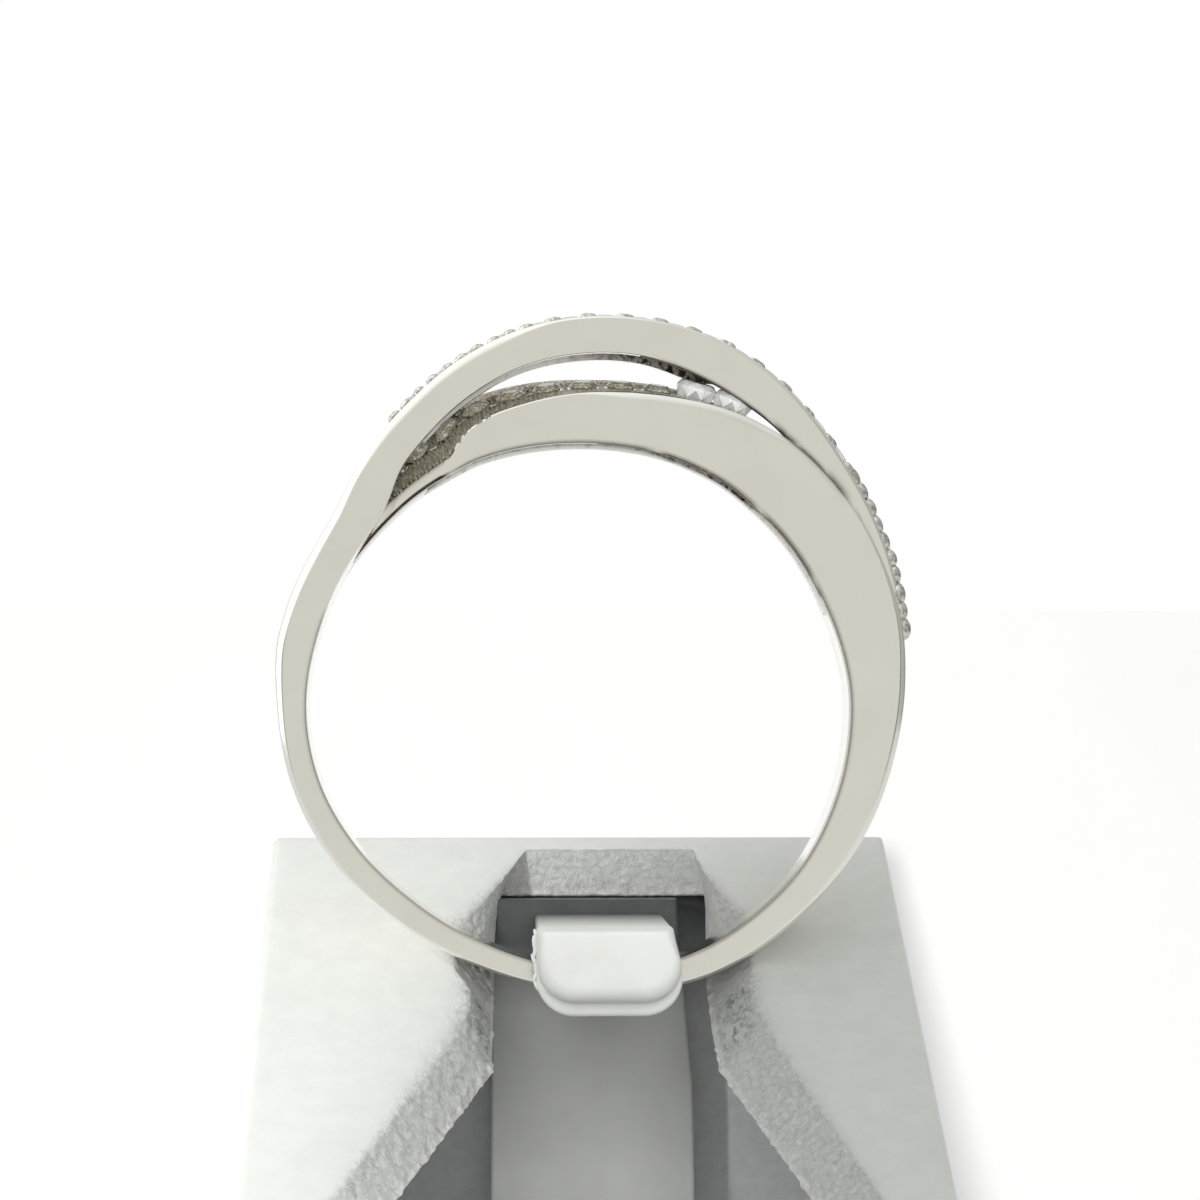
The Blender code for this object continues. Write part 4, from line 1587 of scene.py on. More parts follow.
@dataclass
class RoughStrip:
    """The rough dressing of a ribbon's outer surface: short ridges across it, between the stones."""

    name: str
    path: Path
    row: StoneRow
    ends: Pair
    pitch: float = 0.16
    lane: float = 0.26
    size: Triple = (0.062, 0.17, 0.060)
    margin: float = 0.10
    rear_margin: float = 0.30
    smooth_margin: float = 0.30
    smooth_below: float = 106.0
    clear: float = 0.50
    seed: int = 23
    shake: Pair = (0.03, 0.05)
    sunk: float = 0.02
    growth: Pair = (0.7, 1.25)
    twist: float = 0.3
    soot_and_shade: float = 0.75
    sides: int = 8
    bands: int = 4

    def places(self) -> list[Matrix]:
        """Return the frame of each ridge, scaled to its size.

        Returns:
            The frames.
        """
        random = np.random.default_rng(self.seed)
        angles = np.linspace(*self.ends, 200)
        along, across = self.shake
        spots = [self.path.middle(float(angle)) for angle in angles]
        length = sum((b - a).length for a, b in zip(spots, spots[1:]))
        seats = [seat.inverted() for seat in self.row.seats()]
        made = []
        for angle in self.path.spaced(*self.ends, round(length / self.pitch)):
            front, rear = self.path.edges(angle)
            width = (rear - front).length
            seat = self.path.seat(angle)
            margin = self.smooth_margin if angle < self.smooth_below else self.margin
            room = width - margin - self.rear_margin
            lanes = round(room / self.lane)
            for lane in range(lanes + 1):
                aside = -width / 2 + margin + room * lane / lanes
                shift = Vector((random.uniform(-along, along), aside + random.uniform(-across, across),
                                -self.sunk))
                spot = seat @ shift
                reach = min((matrix @ spot).xy.length for matrix in seats)
                if reach < self.clear:
                    continue
                size = Vector(self.size) * random.uniform(*self.growth)
                turn = Matrix.Rotation(random.uniform(-self.twist, self.twist), 4, "Z")
                made.append(seat @ Matrix.Translation(shift) @ turn @ Matrix.Diagonal(size).to_4x4())
        return made

    def build(self, bench: Bench) -> Piece:
        """Build the ridges as one joined mesh.

        Args:
            bench: The frame of the part.

        Returns:
            The ridges.
        """
        ball = unit_ball(self.sides, self.bands)
        copies = [transformed(ball, place) for place in self.places()]
        made = joined(self.name, copies, ball_quads(self.sides, self.bands), bench)
        made.data.uv_layers.new(name="sweep")
        store(made, "soot_and_shade", np.full(len(made.data.vertices), self.soot_and_shade))
        return made


@dataclass
class Ring:
    """The whole ring: two crossing ribbons, their stones and their grains."""

    upper: Path = field(default_factory=lambda: Path(UPPER_SECTIONS))
    lower: Path = field(default_factory=lambda: Path(LOWER_SECTIONS))
    upper_row: tuple[float, float, int] = (118.5, 15.0, 20)
    lower_row: tuple[float, float, int] = (144.0, 63.0, 13)
    raised: int = 2

    def build(self, bench: Bench) -> list[Piece]:
        """Build and dress the ring's pieces.

        Args:
            bench: Where the ring goes.

        Returns:
            The pieces made.
        """
        upper_row = StoneRow("upper", self.upper, *self.upper_row)
        lower_row = StoneRow(
            "lower", self.lower, *self.lower_row, raised=self.raised, filmed=True, beaded=False,
            grains_from=96.0, spread_from=180.0, grain_size=(0.12, 0.12, 0.11), grain_lift=-0.01,
            grain_aside=0.52)
        metals = [PolishedSilver().make(), DarkEdge().make(), CastHollow().make(), StoneBed().make()]
        grain, stone = GrainMetal().make(), ClearSapphire().make()
        pieces = []
        ribbons = (
            RibbonMetal(
                "upper_ribbon", self.upper, upper_row, hollow=(46.0, 122.0), bed=(11.0, 122.0),
                soot_and_shade=(96.0, 80.0), dark_rim=(48.0, 80.0), rear_lift=0.36, passes=self.lower,
                edge_shades=CROSSING_SHADES, soft_ends=(100.0, 132.0)),
            RibbonMetal(
                "lower_ribbon", self.lower, lower_row, hollow=(20.0, 126.0), bed=(60.0, 152.0),
                bed_soot=(60.0, 90.0), dark_rim=(24.0, 86.0), dark_front=(116.0, 152.0),
                dark_rear=(58.0, 88.0), deep_hollow_shade=LOWER_HOLLOW_SHADE, edge_shades=LOWER_EDGE_SHADES, soft_ends=(54.0, 84.0)),
        )
        strip = RoughStrip("lower_rough_strip", self.lower, lower_row, (151.0, 97.0)).build(bench)
        dress(strip, [], [metals[Zone.BED]])
        pieces.append(strip)
        for ribbon in ribbons:
            metal = ribbon.build(bench)
            dress(metal, ["ring_band"], metals)
            pieces.append(metal)
            row = ribbon.row
            stones = row.build_stones(bench)
            nodes = [f"{row.name}_stone_{index:02d}" for index in range(1, row.count + 1)]
            dress(stones, nodes, [stone])
            grains = row.build_grains(bench)
            dress(grains, [], [grain])
            pieces += [stones, grains]
        return pieces


@dataclass
class ClipStand:
    """The hollow wedge: a sloping face with a keyhole whose sides are folded in."""

    left: float = -10.3
    right: float = 10.7
    back: float = 5.55
    front: float = -19.0
    floor: float = -21.6
    slope: float = math.radians(30.0)
    face_y: float = -1.5
    face_z: float = -8.5
    thickness: float = 1.25
    side_wall: float = 1.2
    back_wall: float = 1.0
    round_edge: float = 0.3
    heart: Pair = (0.8, -6.0)
    points_round: int = 760
    rim: tuple[Pair, ...] = (
        (-1.66, 4.74), (-2.60, 2.95), (-4.05, 0.40), (-4.00, -1.40), (-3.50, -2.30), (-3.50, -3.20),
        (-4.00, -4.60), (-9.00, -14.60), (9.65, -14.60), (6.06, -5.30), (5.39, -3.00), (5.39, -2.20),
        (5.55, -0.80), (5.56, 0.90), (4.32, 3.50), (4.06, 4.74))
    edge: tuple[Pair, ...] = (
        (-2.68, 4.50), (-2.70, 2.90), (-2.74, 0.40), (-2.78, -1.40), (-2.80, -2.40), (-2.82, -3.20),
        (-2.86, -4.27), (-7.90, -13.80), (8.42, -13.80), (4.30, -4.14), (4.24, -3.00), (4.20, -2.20),
        (4.18, -0.80), (4.22, 0.90), (4.40, 3.50), (4.50, 4.50))
    scuffs: tuple[Triple, ...] = (
        (-3.55, 0.1, 0.75), (-3.3, -2.4, 0.5), (5.1, 0.5, 0.7), (4.95, -2.3, 0.75), (4.9, -3.4, 0.6),
        (-3.2, -3.4, 0.45))
    side_cuts: int = 9
    face_cuts: int = 34
    fold_cuts: int = 22
    sink: float = 0.10
    sink_reach: float = 0.16
    fold_reach: float = 0.25
    lining_drop: Pair = (0.06, 0.03)
    creases: tuple[Triple, ...] = ((0.55, 3.0, 0.055), (0.17, 9.0, 0.03))
    ridges: Triple = (0.40, 21.0, 0.045)
    tears: Triple = (0.22, 5.0, 0.14)
    torn_below: float = 1.1
    torn_from: float = 0.3

    def face(self, y: np.ndarray) -> np.ndarray:
        """Return the height of the sloping face at a depth."""
        return self.face_z + math.tan(self.slope) * (y - self.face_y)

    def matched(self, corners: tuple[Pair, ...], counts: list[int]) -> np.ndarray:
        """Return an outline resampled with a number of points for each of its sides.

        Args:
            corners: The outline's corners.
            counts: The number of points of each side.

        Returns:
            The new points.
        """
        places = np.array(corners)
        parts = []
        for index, count in enumerate(counts):
            start, end = places[index], places[(index + 1) % len(places)]
            parts.append(start + (end - start) * (np.arange(count) / count)[:, None])
        smooth = np.vstack(parts)
        for _ in range(3):
            smooth = (np.roll(smooth, 1, axis=0) + smooth * 2 + np.roll(smooth, -1, axis=0)) / 4
        return smooth

    def side_counts(self) -> list[int]:
        """Return how many points each side of the keyhole gets, by its length.

        Returns:
            The counts, side by side.
        """
        lengths = []
        for outline in (self.rim, self.edge):
            places = np.array(outline)
            lengths.append(np.linalg.norm(np.roll(places, -1, axis=0) - places, axis=1))
        longest = np.maximum(*lengths)
        return [max(3, round(self.points_round * part / longest.sum())) for part in longest]

    def on_box(self, outline: np.ndarray, inset: tuple[float, float, float, float]) -> np.ndarray:
        """Return where rays from the keyhole's heart through an outline meet an inset rectangle.

        Args:
            outline: The points that the rays pass through.
            inset: How far the left, right, front and back sides are moved in.

        Returns:
            One point of the rectangle for each ray.
        """
        heart = np.array(self.heart)
        ray = outline - heart
        low = np.array([self.left + inset[0], self.front + inset[2]]) - heart
        high = np.array([self.right - inset[1], self.back - inset[3]]) - heart
        with np.errstate(divide="ignore"):
            reach = np.where(ray > 0, high / ray, low / ray)
        return heart + ray * np.min(np.abs(reach), axis=1)[:, None]

    def loops(self) -> tuple[np.ndarray, np.ndarray, np.ndarray]:
        """Return the stand's loops from the middle of its foot to the middle of its inside floor.

        Returns:
            The loops, the lining's mark for each band, and each loop's share of folded skin.
        """
        counts = self.side_counts()
        rim, edge = self.matched(self.rim, counts), self.matched(self.edge, counts)
        drop = self.thickness / math.cos(self.slope)
        size = self.round_edge
        outer = self.on_box(rim, (0.0, 0.0, 0.0, 0.0))
        bound = self.on_box(rim, (size, size, size, size))
        made: list[np.ndarray] = []
        folds: list[float] = []

        def put(xy: np.ndarray, z: np.ndarray | float, fold: float = 0.0) -> None:
            """Add one loop and its share of folded skin."""
            made.append(np.column_stack([xy, np.broadcast_to(z, len(xy))]))
            folds.append(fold)

        heart = np.array(self.heart)
        for share in (0.15, 0.6):
            put(heart + (bound - heart) * share, self.floor)
        for index in range(5):
            turn = math.radians(90.0 * index / 4)
            put(bound + (outer - bound) * math.sin(turn), self.floor + size * (1 - math.cos(turn)))
        top = self.face(outer[:, 1]) - size
        for share in np.linspace(0.0, 1.0, self.side_cuts)[1:]:
            put(outer, self.floor + size + (top - self.floor - size) * share)
        for index in range(1, 5):
            turn = math.radians(90.0 * index / 4)
            xy = outer + (bound - outer) * (1 - math.cos(turn))
            put(xy, self.face(xy[:, 1]) - size * (1 - math.sin(turn)))
        for share in np.linspace(1.0, 0.0, self.face_cuts)[1:-1] ** 1.7:
            xy = rim + (bound - rim) * share
            distance = np.linalg.norm(xy - rim, axis=1)
            sag = self.sink * np.exp(-distance / self.sink_reach)
            put(xy, self.face(xy[:, 1]) - sag, float(np.exp(-distance.mean() / self.fold_reach)))
        put(rim, self.face(rim[:, 1]) - self.sink, 1.0)
        for share in np.linspace(0.0, 1.0, self.fold_cuts)[1:]:
            xy = rim + (edge - rim) * share
            sag = self.sink * (1 - share) ** 3
            put(xy, self.face(xy[:, 1]) - sag - drop * share, 1.0)
        lining_from = len(made)
        inset = (self.side_wall, self.side_wall, self.side_wall, self.back_wall)
        inside = self.on_box(rim, inset)
        under = edge + (inside - edge) * 0.02
        lip_drop, ceiling_drop = self.lining_drop
        put(under, self.face(under[:, 1]) - drop - lip_drop, 0.4)
        for share in (0.06, 0.15, 0.3, 0.6, 1.0):
            xy = edge + (inside - edge) * share
            put(xy, self.face(xy[:, 1]) - drop - ceiling_drop)
        ceiling = self.face(inside[:, 1]) - drop - ceiling_drop
        ground = self.floor + self.side_wall
        for share in (0.3, 0.7, 1.0):
            put(inside, ceiling + (ground - ceiling) * share)
        for share in (0.6, 0.15):
            put(heart + (inside - heart) * share, ground)
        loops = np.stack(made)
        lining = np.arange(len(loops) - 1) >= lining_from - 1
        return loops, lining, np.array(folds)

    def crumple(self, loops: np.ndarray, folds: np.ndarray) -> np.ndarray:
        """Crease the folded skin and tear its inner edge a little.

        Args:
            loops: The shell's loops.
            folds: The share of folded skin of each loop.

        Returns:
            The moved loops.
        """
        total, count, _ = loops.shape
        lift = np.zeros((total, count))
        for size, seed, height in self.creases:
            lift += wobble(loops, size, seed).reshape(total, count) * height
        size, seed, height = self.ridges
        lift += (1 - np.abs(wobble(loops, size, seed).reshape(total, count)) * 2) * height
        normal = np.array([0.0, -math.sin(self.slope), math.cos(self.slope)])
        shaped = loops + (lift * folds[:, None])[..., None] * normal
        size, seed, depth = self.tears
        flat = loops[:, :, [0, 1, 1]] * np.array([1, 1, 0])
        tear = np.maximum(wobble(flat, size, seed).reshape(total, count), 0)
        inward = loops[:, :, :2] - np.array(self.heart)
        inward /= np.linalg.norm(inward, axis=2, keepdims=True)
        low = loops[:, :, 2] < self.face(loops[:, :, 1]) - self.torn_below
        near_edge = np.clip((folds - self.torn_from) / (1 - self.torn_from), 0, 1)[:, None] * low
        shaped[:, :, :2] -= inward * (tear * depth * near_edge)[..., None]
        return shaped

    def build(self, bench: Bench) -> Piece:
        """Build and dress the stand.

        Args:
            bench: The frame of the part.

        Returns:
            The stand.
        """
        loops, lining, folds = self.loops()
        shaped = self.crumple(loops, folds)
        made = skin("stand_wedge", shaped, bench)
        count = loops.shape[1]
        marks = np.repeat(lining.astype(int), count)
        caps = [0, 1] * count
        made.data.polygons.foreach_set("material_index", list(marks) + caps)
        flat = np.vstack([loops.reshape(-1, 3), np.zeros((2, 3))])
        store(made, "crease", np.append(np.repeat(folds, count), [0.0, 0.0]))
        scuff = np.zeros(len(flat))
        for x, y, reach in self.scuffs:
            away = np.hypot(flat[:, 0] - x, flat[:, 1] - y)
            scuff = np.maximum(scuff, np.exp(-(away / reach) ** 2))
        store(made, "scuff", scuff * np.append(np.repeat(np.clip(folds * 1.2, 0.25, 1), count), [0.0, 0.0]))
        below = self.face(flat[:, 1]) - flat[:, 2]
        folded = np.append(np.repeat(folds, count), [0.0, 0.0]) > 0.9
        drop = self.thickness / math.cos(self.slope)
        # the lip's share of paler colour, partly a painted highlight
        store(made, "lip", rising(below, drop * 0.84, drop * 0.93) * folded)
        # the band just under the keyhole's edge that is painted near black as shade
        store(made, "gap_shade", (below > drop + 0.01) * (below < drop + 0.08))
        face_out(made)
        made.data.set_sharp_from_angle(angle=math.radians(60))
        dress(made, ["stand_block"], [Leatherette().make(), Lining().make()])
        return made


@dataclass(frozen=True)
class SlotShade:
    """Where the clip is painted dark as shade: the strip's upper end, fading downward, with a faint share
    further down.
    """

    dark_above: float = -7.6
    unshaded_below: float = -11.0
    faint: float = 0.38
    faint_from: float = -20.0
    behind: float = 2.6


@dataclass
class Clip:
    """The moulded clip: a strip inside the stand, an arm over the band and a tab."""

    strip_front: float = 3.05
    strip_back: float = 3.90
    strip: tuple[Triple, ...] = (
        (-20.1, -2.85, 4.00), (-16.0, -2.85, 4.00), (-12.7, -2.85, 3.94), (-10.3, -2.85, 3.72),
        (-8.0, -2.80, 3.52), (-6.48, -2.76, 3.40))
    strip_round: float = 0.14
    strip_ends: float = 0.06
    hook: Pair = (-1.43, 3.21)
    arm_top: float = -7.00
    arm_bottom: float = -7.95
    tab_front: float = -4.00
    tab_back: float = -2.90
    tab_bottom: float = -9.84
    tab_lean: float = 0.28
    tab_round: float = 1.20
    tab_corner: float = 0.16
    layers: tuple[Triple, ...] = (
        (0.0, 0.30, 0.30), (0.0, 0.12, 0.12), (0.04, 0.03, 0.03), (0.14, 0.0, 0.0), (0.26, 0.0, 0.0),
        (0.36, 0.02, 0.04), (0.40, 0.05, 0.16), (0.40, 0.06, 0.42), (0.43, 0.06, 0.46), (0.48, 0.03, 0.43))
    pillow_cuts: int = 10
    pillow_fall: float = 0.56
    pillow_sides: float = 0.27
    front_caps: tuple[Pair, ...] = ((0.60, 1.12), (0.9, 1.22))
    tears: tuple[Triple, ...] = (
        (-1.44, -7.25, 0.11), (-1.49, -7.50, 0.14), (-1.46, -7.78, 0.15), (-1.50, -8.05, 0.13),
        (-1.45, -8.30, 0.14), (-1.48, -8.60, 0.10), (-1.44, -8.85, 0.11))
    tear_back: float = 0.25
    shard_cuts: tuple[int, int] = (7, 5)
    arm_inset: float = 0.04
    arm_overlap: float = 0.3
    arm_round: float = 0.12
    points_round: int = 160

    def tab_outline(self, inset: float, lift: float) -> np.ndarray:
        """Return the tab seen from the front, with its sides moved in and its lower edge moved up.

        Args:
            inset: How far the sides are moved in.
            lift: How far the lower edge is moved up.

        Returns:
            The outline's points.
        """
        left, right = self.hook[0] + inset, self.hook[1] - inset
        top, bottom = self.arm_top - inset * 0.5, self.tab_bottom + lift
        size = max(0.3, self.tab_round - inset * 0.4)
        small = self.tab_corner
        corners = [
            (left + small, top - small, small, 180.0),
            (right - self.tab_lean - small, top - small, small, 90.0),
            (right - size, bottom + size, size, 0.0),
            (left + size, bottom + size, size, -90.0),
        ]
        places = []
        for x, z, radius, first in corners:
            for index in range(13):
                turn = math.radians(first - 90.0 * index / 12)
                places.append((x + radius * math.cos(turn), z + radius * math.sin(turn)))
        return evenly(np.array(places), self.points_round)

    def tab_loops(self) -> np.ndarray:
        """Return the tab's loops from back to front, with a parting line between its layers.

        Returns:
            The loops.
        """
        steps = [(self.tab_back - back, inset, lift) for back, inset, lift in self.layers]
        start, first_inset, first_lift = steps[-1]
        for index in range(1, self.pillow_cuts + 1):
            turn = math.radians(90.0 * index / self.pillow_cuts)
            fall = 1 - math.cos(turn)
            steps.append((start - (start - self.tab_front) * math.sin(turn),
                          first_inset + self.pillow_sides * fall, first_lift + self.pillow_fall * fall))
        steps += [(self.tab_front, inset, lift) for inset, lift in self.front_caps]
        loops = []
        for y, inset, lift in steps:
            outline = self.tab_outline(inset, lift)
            loops.append(np.column_stack([outline[:, 0], np.full(len(outline), y), outline[:, 1]]))
        return np.stack(loops)

    def bar(self, low: Triple, high: Triple, round_: float, bench: Bench) -> Piece:
        """Return a bar between two corners with rounded edges.

        Args:
            low, high: The two corners.
            round_: The radius of its edges.
            bench: The frame of the part.

        Returns:
            The bar.
        """
        shape = bmesh.new()
        middle = (Vector(low) + Vector(high)) / 2
        size = Vector(high) - Vector(low)
        place = Matrix.LocRotScale(bench.spot(*middle), None, size * MM)
        bmesh.ops.create_cube(shape, size=1.0, matrix=place)
        bmesh.ops.bevel(shape, geom=shape.edges[:], offset=round_ * MM, segments=4, profile=0.5,
                        affect="EDGES")
        mesh = bpy.data.meshes.new("bar")
        shape.to_mesh(mesh)
        shape.free()
        mesh.shade_smooth()
        return link_new("bar", mesh)

    def plate(self, bench: Bench) -> Piece:
        """Return the strip: one plate that narrows a little towards its top.

        Args:
            bench: The frame of the part.

        Returns:
            The strip.
        """
        loops = []
        for end, (z, left, right) in enumerate(self.strip):
            depth = self.strip_back - self.strip_front
            middle = np.array([(left + right) / 2, self.strip_front + depth / 2])
            outline = rounded_box(right - left, depth, self.strip_round) + middle
            level = np.column_stack([outline, np.full(len(outline), z)])
            if end == 0:
                level[:, 2] += self.strip_ends
            if end == len(self.strip) - 1:
                level[:, 2] -= self.strip_ends
            loops.append(level)
        return skin("strip", np.stack(loops), bench)

    def tear(self, bench: Bench) -> Piece:
        """Return the torn flash along the tab's left edge as small shards.

        Args:
            bench: The frame of the part.

        Returns:
            The shards.
        """
        ball = unit_ball(*self.shard_cuts)
        copies = []
        for index, (x, z, size) in enumerate(self.tears):
            turn = Matrix.Rotation(math.radians(18.0 * (index % 3) - 20.0), 4, "Y")
            spread = Matrix.Diagonal((size * 0.55, 0.05, size * 1.7, 1.0))
            place = Matrix.Translation((x, self.tab_back - self.tear_back, z)) @ turn @ spread
            copies.append(transformed(ball * (1.0 + 0.3 * wobble(ball + index, 0.5, 4.0))[:, None], place))
        return joined("tear", copies, ball_quads(*self.shard_cuts), bench)

    def slot_shade(self, made: Piece, bench: Bench) -> None:
        """Store each point's share of painted shade.

        Args:
            made: The clip.
            bench: The frame of the part.
        """
        mark = SlotShade()
        places = np.array([vertex.co[:] for vertex in made.data.vertices]) / MM - np.array(bench.offset)
        height = np.maximum(rising(places[:, 2], mark.unshaded_below, mark.dark_above),
                            mark.faint * rising(places[:, 2], mark.faint_from, mark.unshaded_below))
        store(made, "slot_shade", height * (places[:, 1] > mark.behind))

    def build(self, bench: Bench) -> Piece:
        """Build and dress the clip.

        Args:
            bench: The frame of the part.

        Returns:
            The clip.
        """
        tab = skin("clip_hook", self.tab_loops(), bench)
        face_out(tab)
        hook_left, hook_right = self.hook
        strip = self.plate(bench)
        face_out(strip)
        parts = [
            strip,
            self.tear(bench),
            self.bar((hook_left + self.arm_inset, self.tab_back - self.arm_overlap, self.arm_bottom),
                     (hook_right - self.tab_lean - self.arm_inset, self.strip_front + self.arm_overlap,
                      self.arm_top - self.arm_inset / 2), self.arm_round, bench),
        ]
        join_into(tab, parts)
        tab.data.set_sharp_from_angle(angle=math.radians(50))
        self.slot_shade(tab, bench)
        dress(tab, ["clip"], [WhitePlastic().make()])
        return tab


@dataclass(frozen=True)
class Lamp:
    """One soft square light."""

    name: str
    place: Triple
    aim: Triple
    width: float
    power: float
    matt_only: bool = False

    def hang(self, bench: Bench) -> Piece:
        """Hang the light and turn it to its aim.

        Args:
            bench: The frame of the part.

        Returns:
            The lamp.
        """
        data = bpy.data.lights.new(self.name, "AREA")
        data.shape = "SQUARE"
        data.size = self.width * MM
        data.energy = self.power
        made = bpy.data.objects.new(self.name, data)
        made.location = bench.spot(*self.place)
        towards = bench.spot(*self.aim) - made.location
        made.rotation_euler = towards.to_track_quat("-Z", "Y").to_euler()
        made.visible_camera = False
        made.visible_glossy = not self.matt_only
        bpy.context.scene.collection.objects.link(made)
        return made


def light_only(lamp: Piece, lit: list[Piece], shading: list[Piece]) -> None:
    """Let a lamp light some pieces alone.

    Args:
        lamp: The lamp.
        lit: The pieces that it lights.
        shading: The pieces that cast its shadows, or none to let every piece do so.
    """
    lamp.light_linking.receiver_collection = collection_of(lamp.name + "_lights", lit)
    if shading:
        lamp.light_linking.blocker_collection = collection_of(lamp.name + "_shadows", shading)


def collection_of(name: str, pieces: list[Piece]) -> bpy.types.Collection:
    """Return a new collection that holds some pieces.

    Args:
        name: The collection's name.
        pieces: What it holds.

    Returns:
        The collection.
    """
    made = bpy.data.collections.new(name)
    for piece in pieces:
        made.objects.link(piece)
    return made


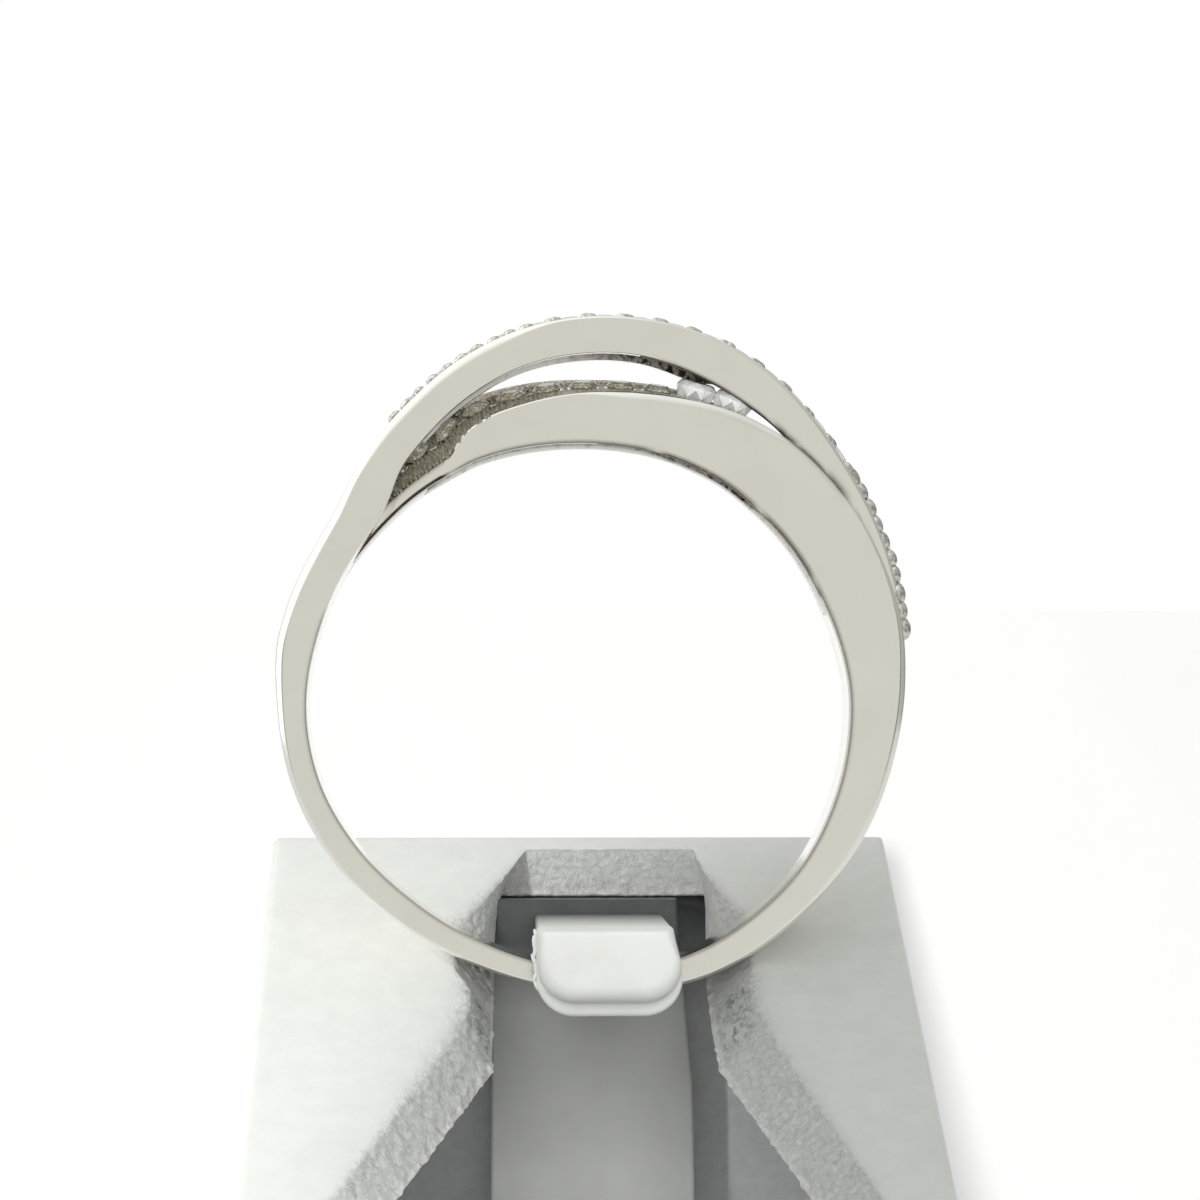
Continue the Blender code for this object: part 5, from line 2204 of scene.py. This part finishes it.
@dataclass
class Studio:
    """The plain floor, a white card behind the stand, the soft light and the camera."""

    floor: float = -21.6
    floor_sides: Pair = (-150.0, 150.0)
    floor_ends: Pair = (-85.0, 120.0)
    card_sides: Pair = (-24.0, 30.0)
    card_y: float = 30.0
    card_top: float = 4.0
    camera_place: Triple = (-3.0, -101.5, 0.0)
    camera_rise: float = 1.94
    camera_turn: float = -2.09
    lens: float = 93.0
    front_wall: Colour = (0.682, 0.675, 0.627)
    soft: Colour = (0.58, 0.585, 0.57)
    stand_lamp: Lamp = Lamp("stand_light", (-60.0, -70.0, 25.0), (-8.0, -4.0, -10.0), 9.0, 0.052)
    flag_shade: tuple[Pair, ...] = ((3.0, 8.0), (-6.5, -16.0), (20.0, -16.0), (20.0, 8.0))
    flag_place: float = 0.5
    clip_lamp: Lamp = Lamp("clip_light", (-3.0, -95.0, 24.5), (0.8, -4.0, -8.4), 90.0, 0.048)
    inner_lamp: Lamp = Lamp("inner_light", (-2.0, -13.0, -19.0), (-1.0, 4.5, -13.0), 9.0, 0.00035)
    ring_lamp: Lamp = Lamp("ring_light", (-3.0, -110.0, 8.0), (0.0, 0.0, 9.0), 40.0, 0.085, matt_only=True)
    floor_lamp: Lamp = Lamp("floor_light", (0.0, 20.0, 190.0), (0.0, 20.0, -21.6), 240.0, 0.15)
    card_lamp: Lamp = Lamp("card_light", (-5.4, -103.0, 2.4), (3.0, 30.0, -8.0), 5.0, 0.080)

    def build_sheet(self, name: str, corners: list[Triple], bench: Bench) -> Piece:
        """Build one flat sheet of paper from its four corners.

        Args:
            name: The sheet's name.
            corners: Its corners in order.
            bench: The frame of the part.

        Returns:
            The sheet.
        """
        made = mesh_from(name, np.array(corners), [(0, 1, 2, 3)], bench)
        made.data.materials.append(StudioPaper(name + "_paper", one_sided=name == "card").make())
        return made

    def build_flag(self, bench: Bench) -> Piece:
        """Build the flag that keeps the stand's light off the slot and the right side.

        Args:
            bench: Where it goes.

        Returns:
            The flag, part of the way from the light to what it shades.
        """
        lamp = np.array(self.stand_lamp.place)
        stand = ClipStand()
        shade = [(x, y, float(stand.face(np.array(y)))) for x, y in self.flag_shade]
        corners = [tuple(lamp + (np.array(corner) - lamp) * self.flag_place) for corner in shade]
        flag = self.build_sheet("flag", corners, bench)
        flag.visible_camera = False
        flag.visible_diffuse = False
        flag.visible_glossy = False
        flag.visible_transmission = False
        return flag

    def set_camera(self, bench: Bench) -> None:
        """Set the camera where the photograph was taken from.

        Args:
            bench: The frame of the part.
        """
        data = bpy.data.cameras.new("camera")
        data.sensor_width = 36.0
        data.lens = self.lens
        data.clip_start = 1.0 * MM
        data.clip_end = 2.0
        made = bpy.data.objects.new("camera", data)
        made.location = bench.spot(*self.camera_place)
        made.rotation_euler = (math.radians(90.0 + self.camera_rise), 0.0, math.radians(self.camera_turn))
        bpy.context.scene.collection.objects.link(made)
        bpy.context.scene.camera = made

    def set_world(self) -> None:
        """Surround the ring with a beige wall in front, dark gaps beside it and white walls.

        Glossy rays meet the walls; diffuse rays meet one even soft light, and the camera
        plain white.
        """
        world = bpy.data.worlds.new("studio")
        world.use_nodes = True
        nodes = Nodes(world.node_tree)
        nodes.tree.nodes.clear()
        place = nodes.node("ShaderNodeTexCoord")
        split = nodes.node("ShaderNodeSeparateXYZ")
        nodes.link(place.outputs["Generated"], split.inputs[0])
        x, y, z = split.outputs
        black, white = (0.0, 0.0, 0.0), (1.0, 1.0, 1.0)
        walls = self.by_direction(nodes, y, [
            (-0.80, (0.28, 0.275, 0.25)), (-0.70, (0.32, 0.315, 0.29)), (-0.60, (1.0, 1.0, 0.97)),
            (0.35, (1.0, 1.0, 0.98)), (0.55, (0.45, 0.45, 0.44)), (0.75, (0.45, 0.45, 0.44)),
            (0.90, white)])
        above = self.by_direction(nodes, y, [
            (-0.80, (0.72, 0.715, 0.67)), (-0.60, (1.05, 1.05, 1.02)), (0.35, (1.0, 1.0, 0.98)),
            (0.60, (0.6, 0.6, 0.59)), (0.90, white)])
        high = self.by_direction(nodes, z, [(0.10, black), (0.35, white)])
        walls = nodes.blend(high, walls, above)
        side = self.by_direction(nodes, x, [
            (-1.0, (1.5, 1.5, 1.5)), (-0.4, (1.15, 1.15, 1.15)), (0.0, (1.0, 1.0, 1.0)),
            (0.35, (0.75, 0.75, 0.76)), (1.0, (0.40, 0.40, 0.40))])
        lit = nodes.blend(1.0, walls, side, "MULTIPLY")
        front = self.by_direction(nodes, y, [(-0.85, white), (-0.80, black)])
        room = nodes.blend(front, lit, self.front_wall)
        path = nodes.node("ShaderNodeLightPath")
        for_diffuse = nodes.blend(path.outputs["Is Diffuse Ray"], room, self.soft)
        for_camera = nodes.blend(path.outputs["Is Camera Ray"], for_diffuse, white)
        light = nodes.node("ShaderNodeBackground")
        nodes.link(for_camera, light.inputs["Color"])
        output = nodes.node("ShaderNodeOutputWorld")
        nodes.link(light.outputs[0], output.inputs["Surface"])
        bpy.context.scene.world = world

    def by_direction(self, nodes: Nodes, part: Socket, stops: list[tuple[float, Colour]]) -> Socket:
        """Return the colour that a part of a direction, from -1 to 1, has on a ramp.

        Args:
            nodes: The world's nodes.
            part: The direction's part.
            stops: Parts and their colours.

        Returns:
            The colour.
        """
        shares = [((place + 1) / 2, colour) for place, colour in stops]
        return nodes.ramp(nodes.remap(part, -1.0, 1.0, 0.0, 1.0), shares)

    def build(self, bench: Bench, stand: Piece, clip: Piece,
              ring: list[Piece]) -> None:
        """Set up the floor, the card, the lights and the camera.

        Args:
            bench: Where all of it goes.
            stand: The stand, which alone casts the shadow on the card.
            clip: The clip.
            ring: The ring's pieces.
        """
        left, right = self.floor_sides
        front, back = self.floor_ends
        floor = self.build_sheet("floor", [
            (left, front, self.floor), (right, front, self.floor), (right, back, self.floor),
            (left, back, self.floor)], bench)
        left, right = self.card_sides
        card = self.build_sheet("card", [
            (left, self.card_y, self.floor), (right, self.card_y, self.floor),
            (right, self.card_y, self.card_top), (left, self.card_y, self.card_top)], bench)
        self.set_camera(bench)
        light_only(self.stand_lamp.hang(bench), [stand], [stand, clip, self.build_flag(bench)])
        light_only(self.clip_lamp.hang(bench), [clip], [stand, clip])
        light_only(self.inner_lamp.hang(bench), [stand], [stand])
        light_only(self.ring_lamp.hang(bench), ring, [])
        light_only(self.floor_lamp.hang(bench), [floor], [])
        light_only(self.card_lamp.hang(bench), [card], [stand])
        self.set_world()
        bpy.context.scene.view_settings.view_transform = "Standard"


def main() -> None:
    """Build the stand, the clip and the ring, and the studio around them."""
    logging.basicConfig(level=logging.INFO, format="%(name)s: %(message)s")
    stand = ClipStand()
    bench = Bench.from_stand(stand.left, stand.back, stand.floor)
    wedge = stand.build(bench)
    clip = Clip().build(bench)
    ring = Ring().build(bench)
    Studio().build(bench, wedge, clip, ring)


if __name__ == "__main__":
    main()
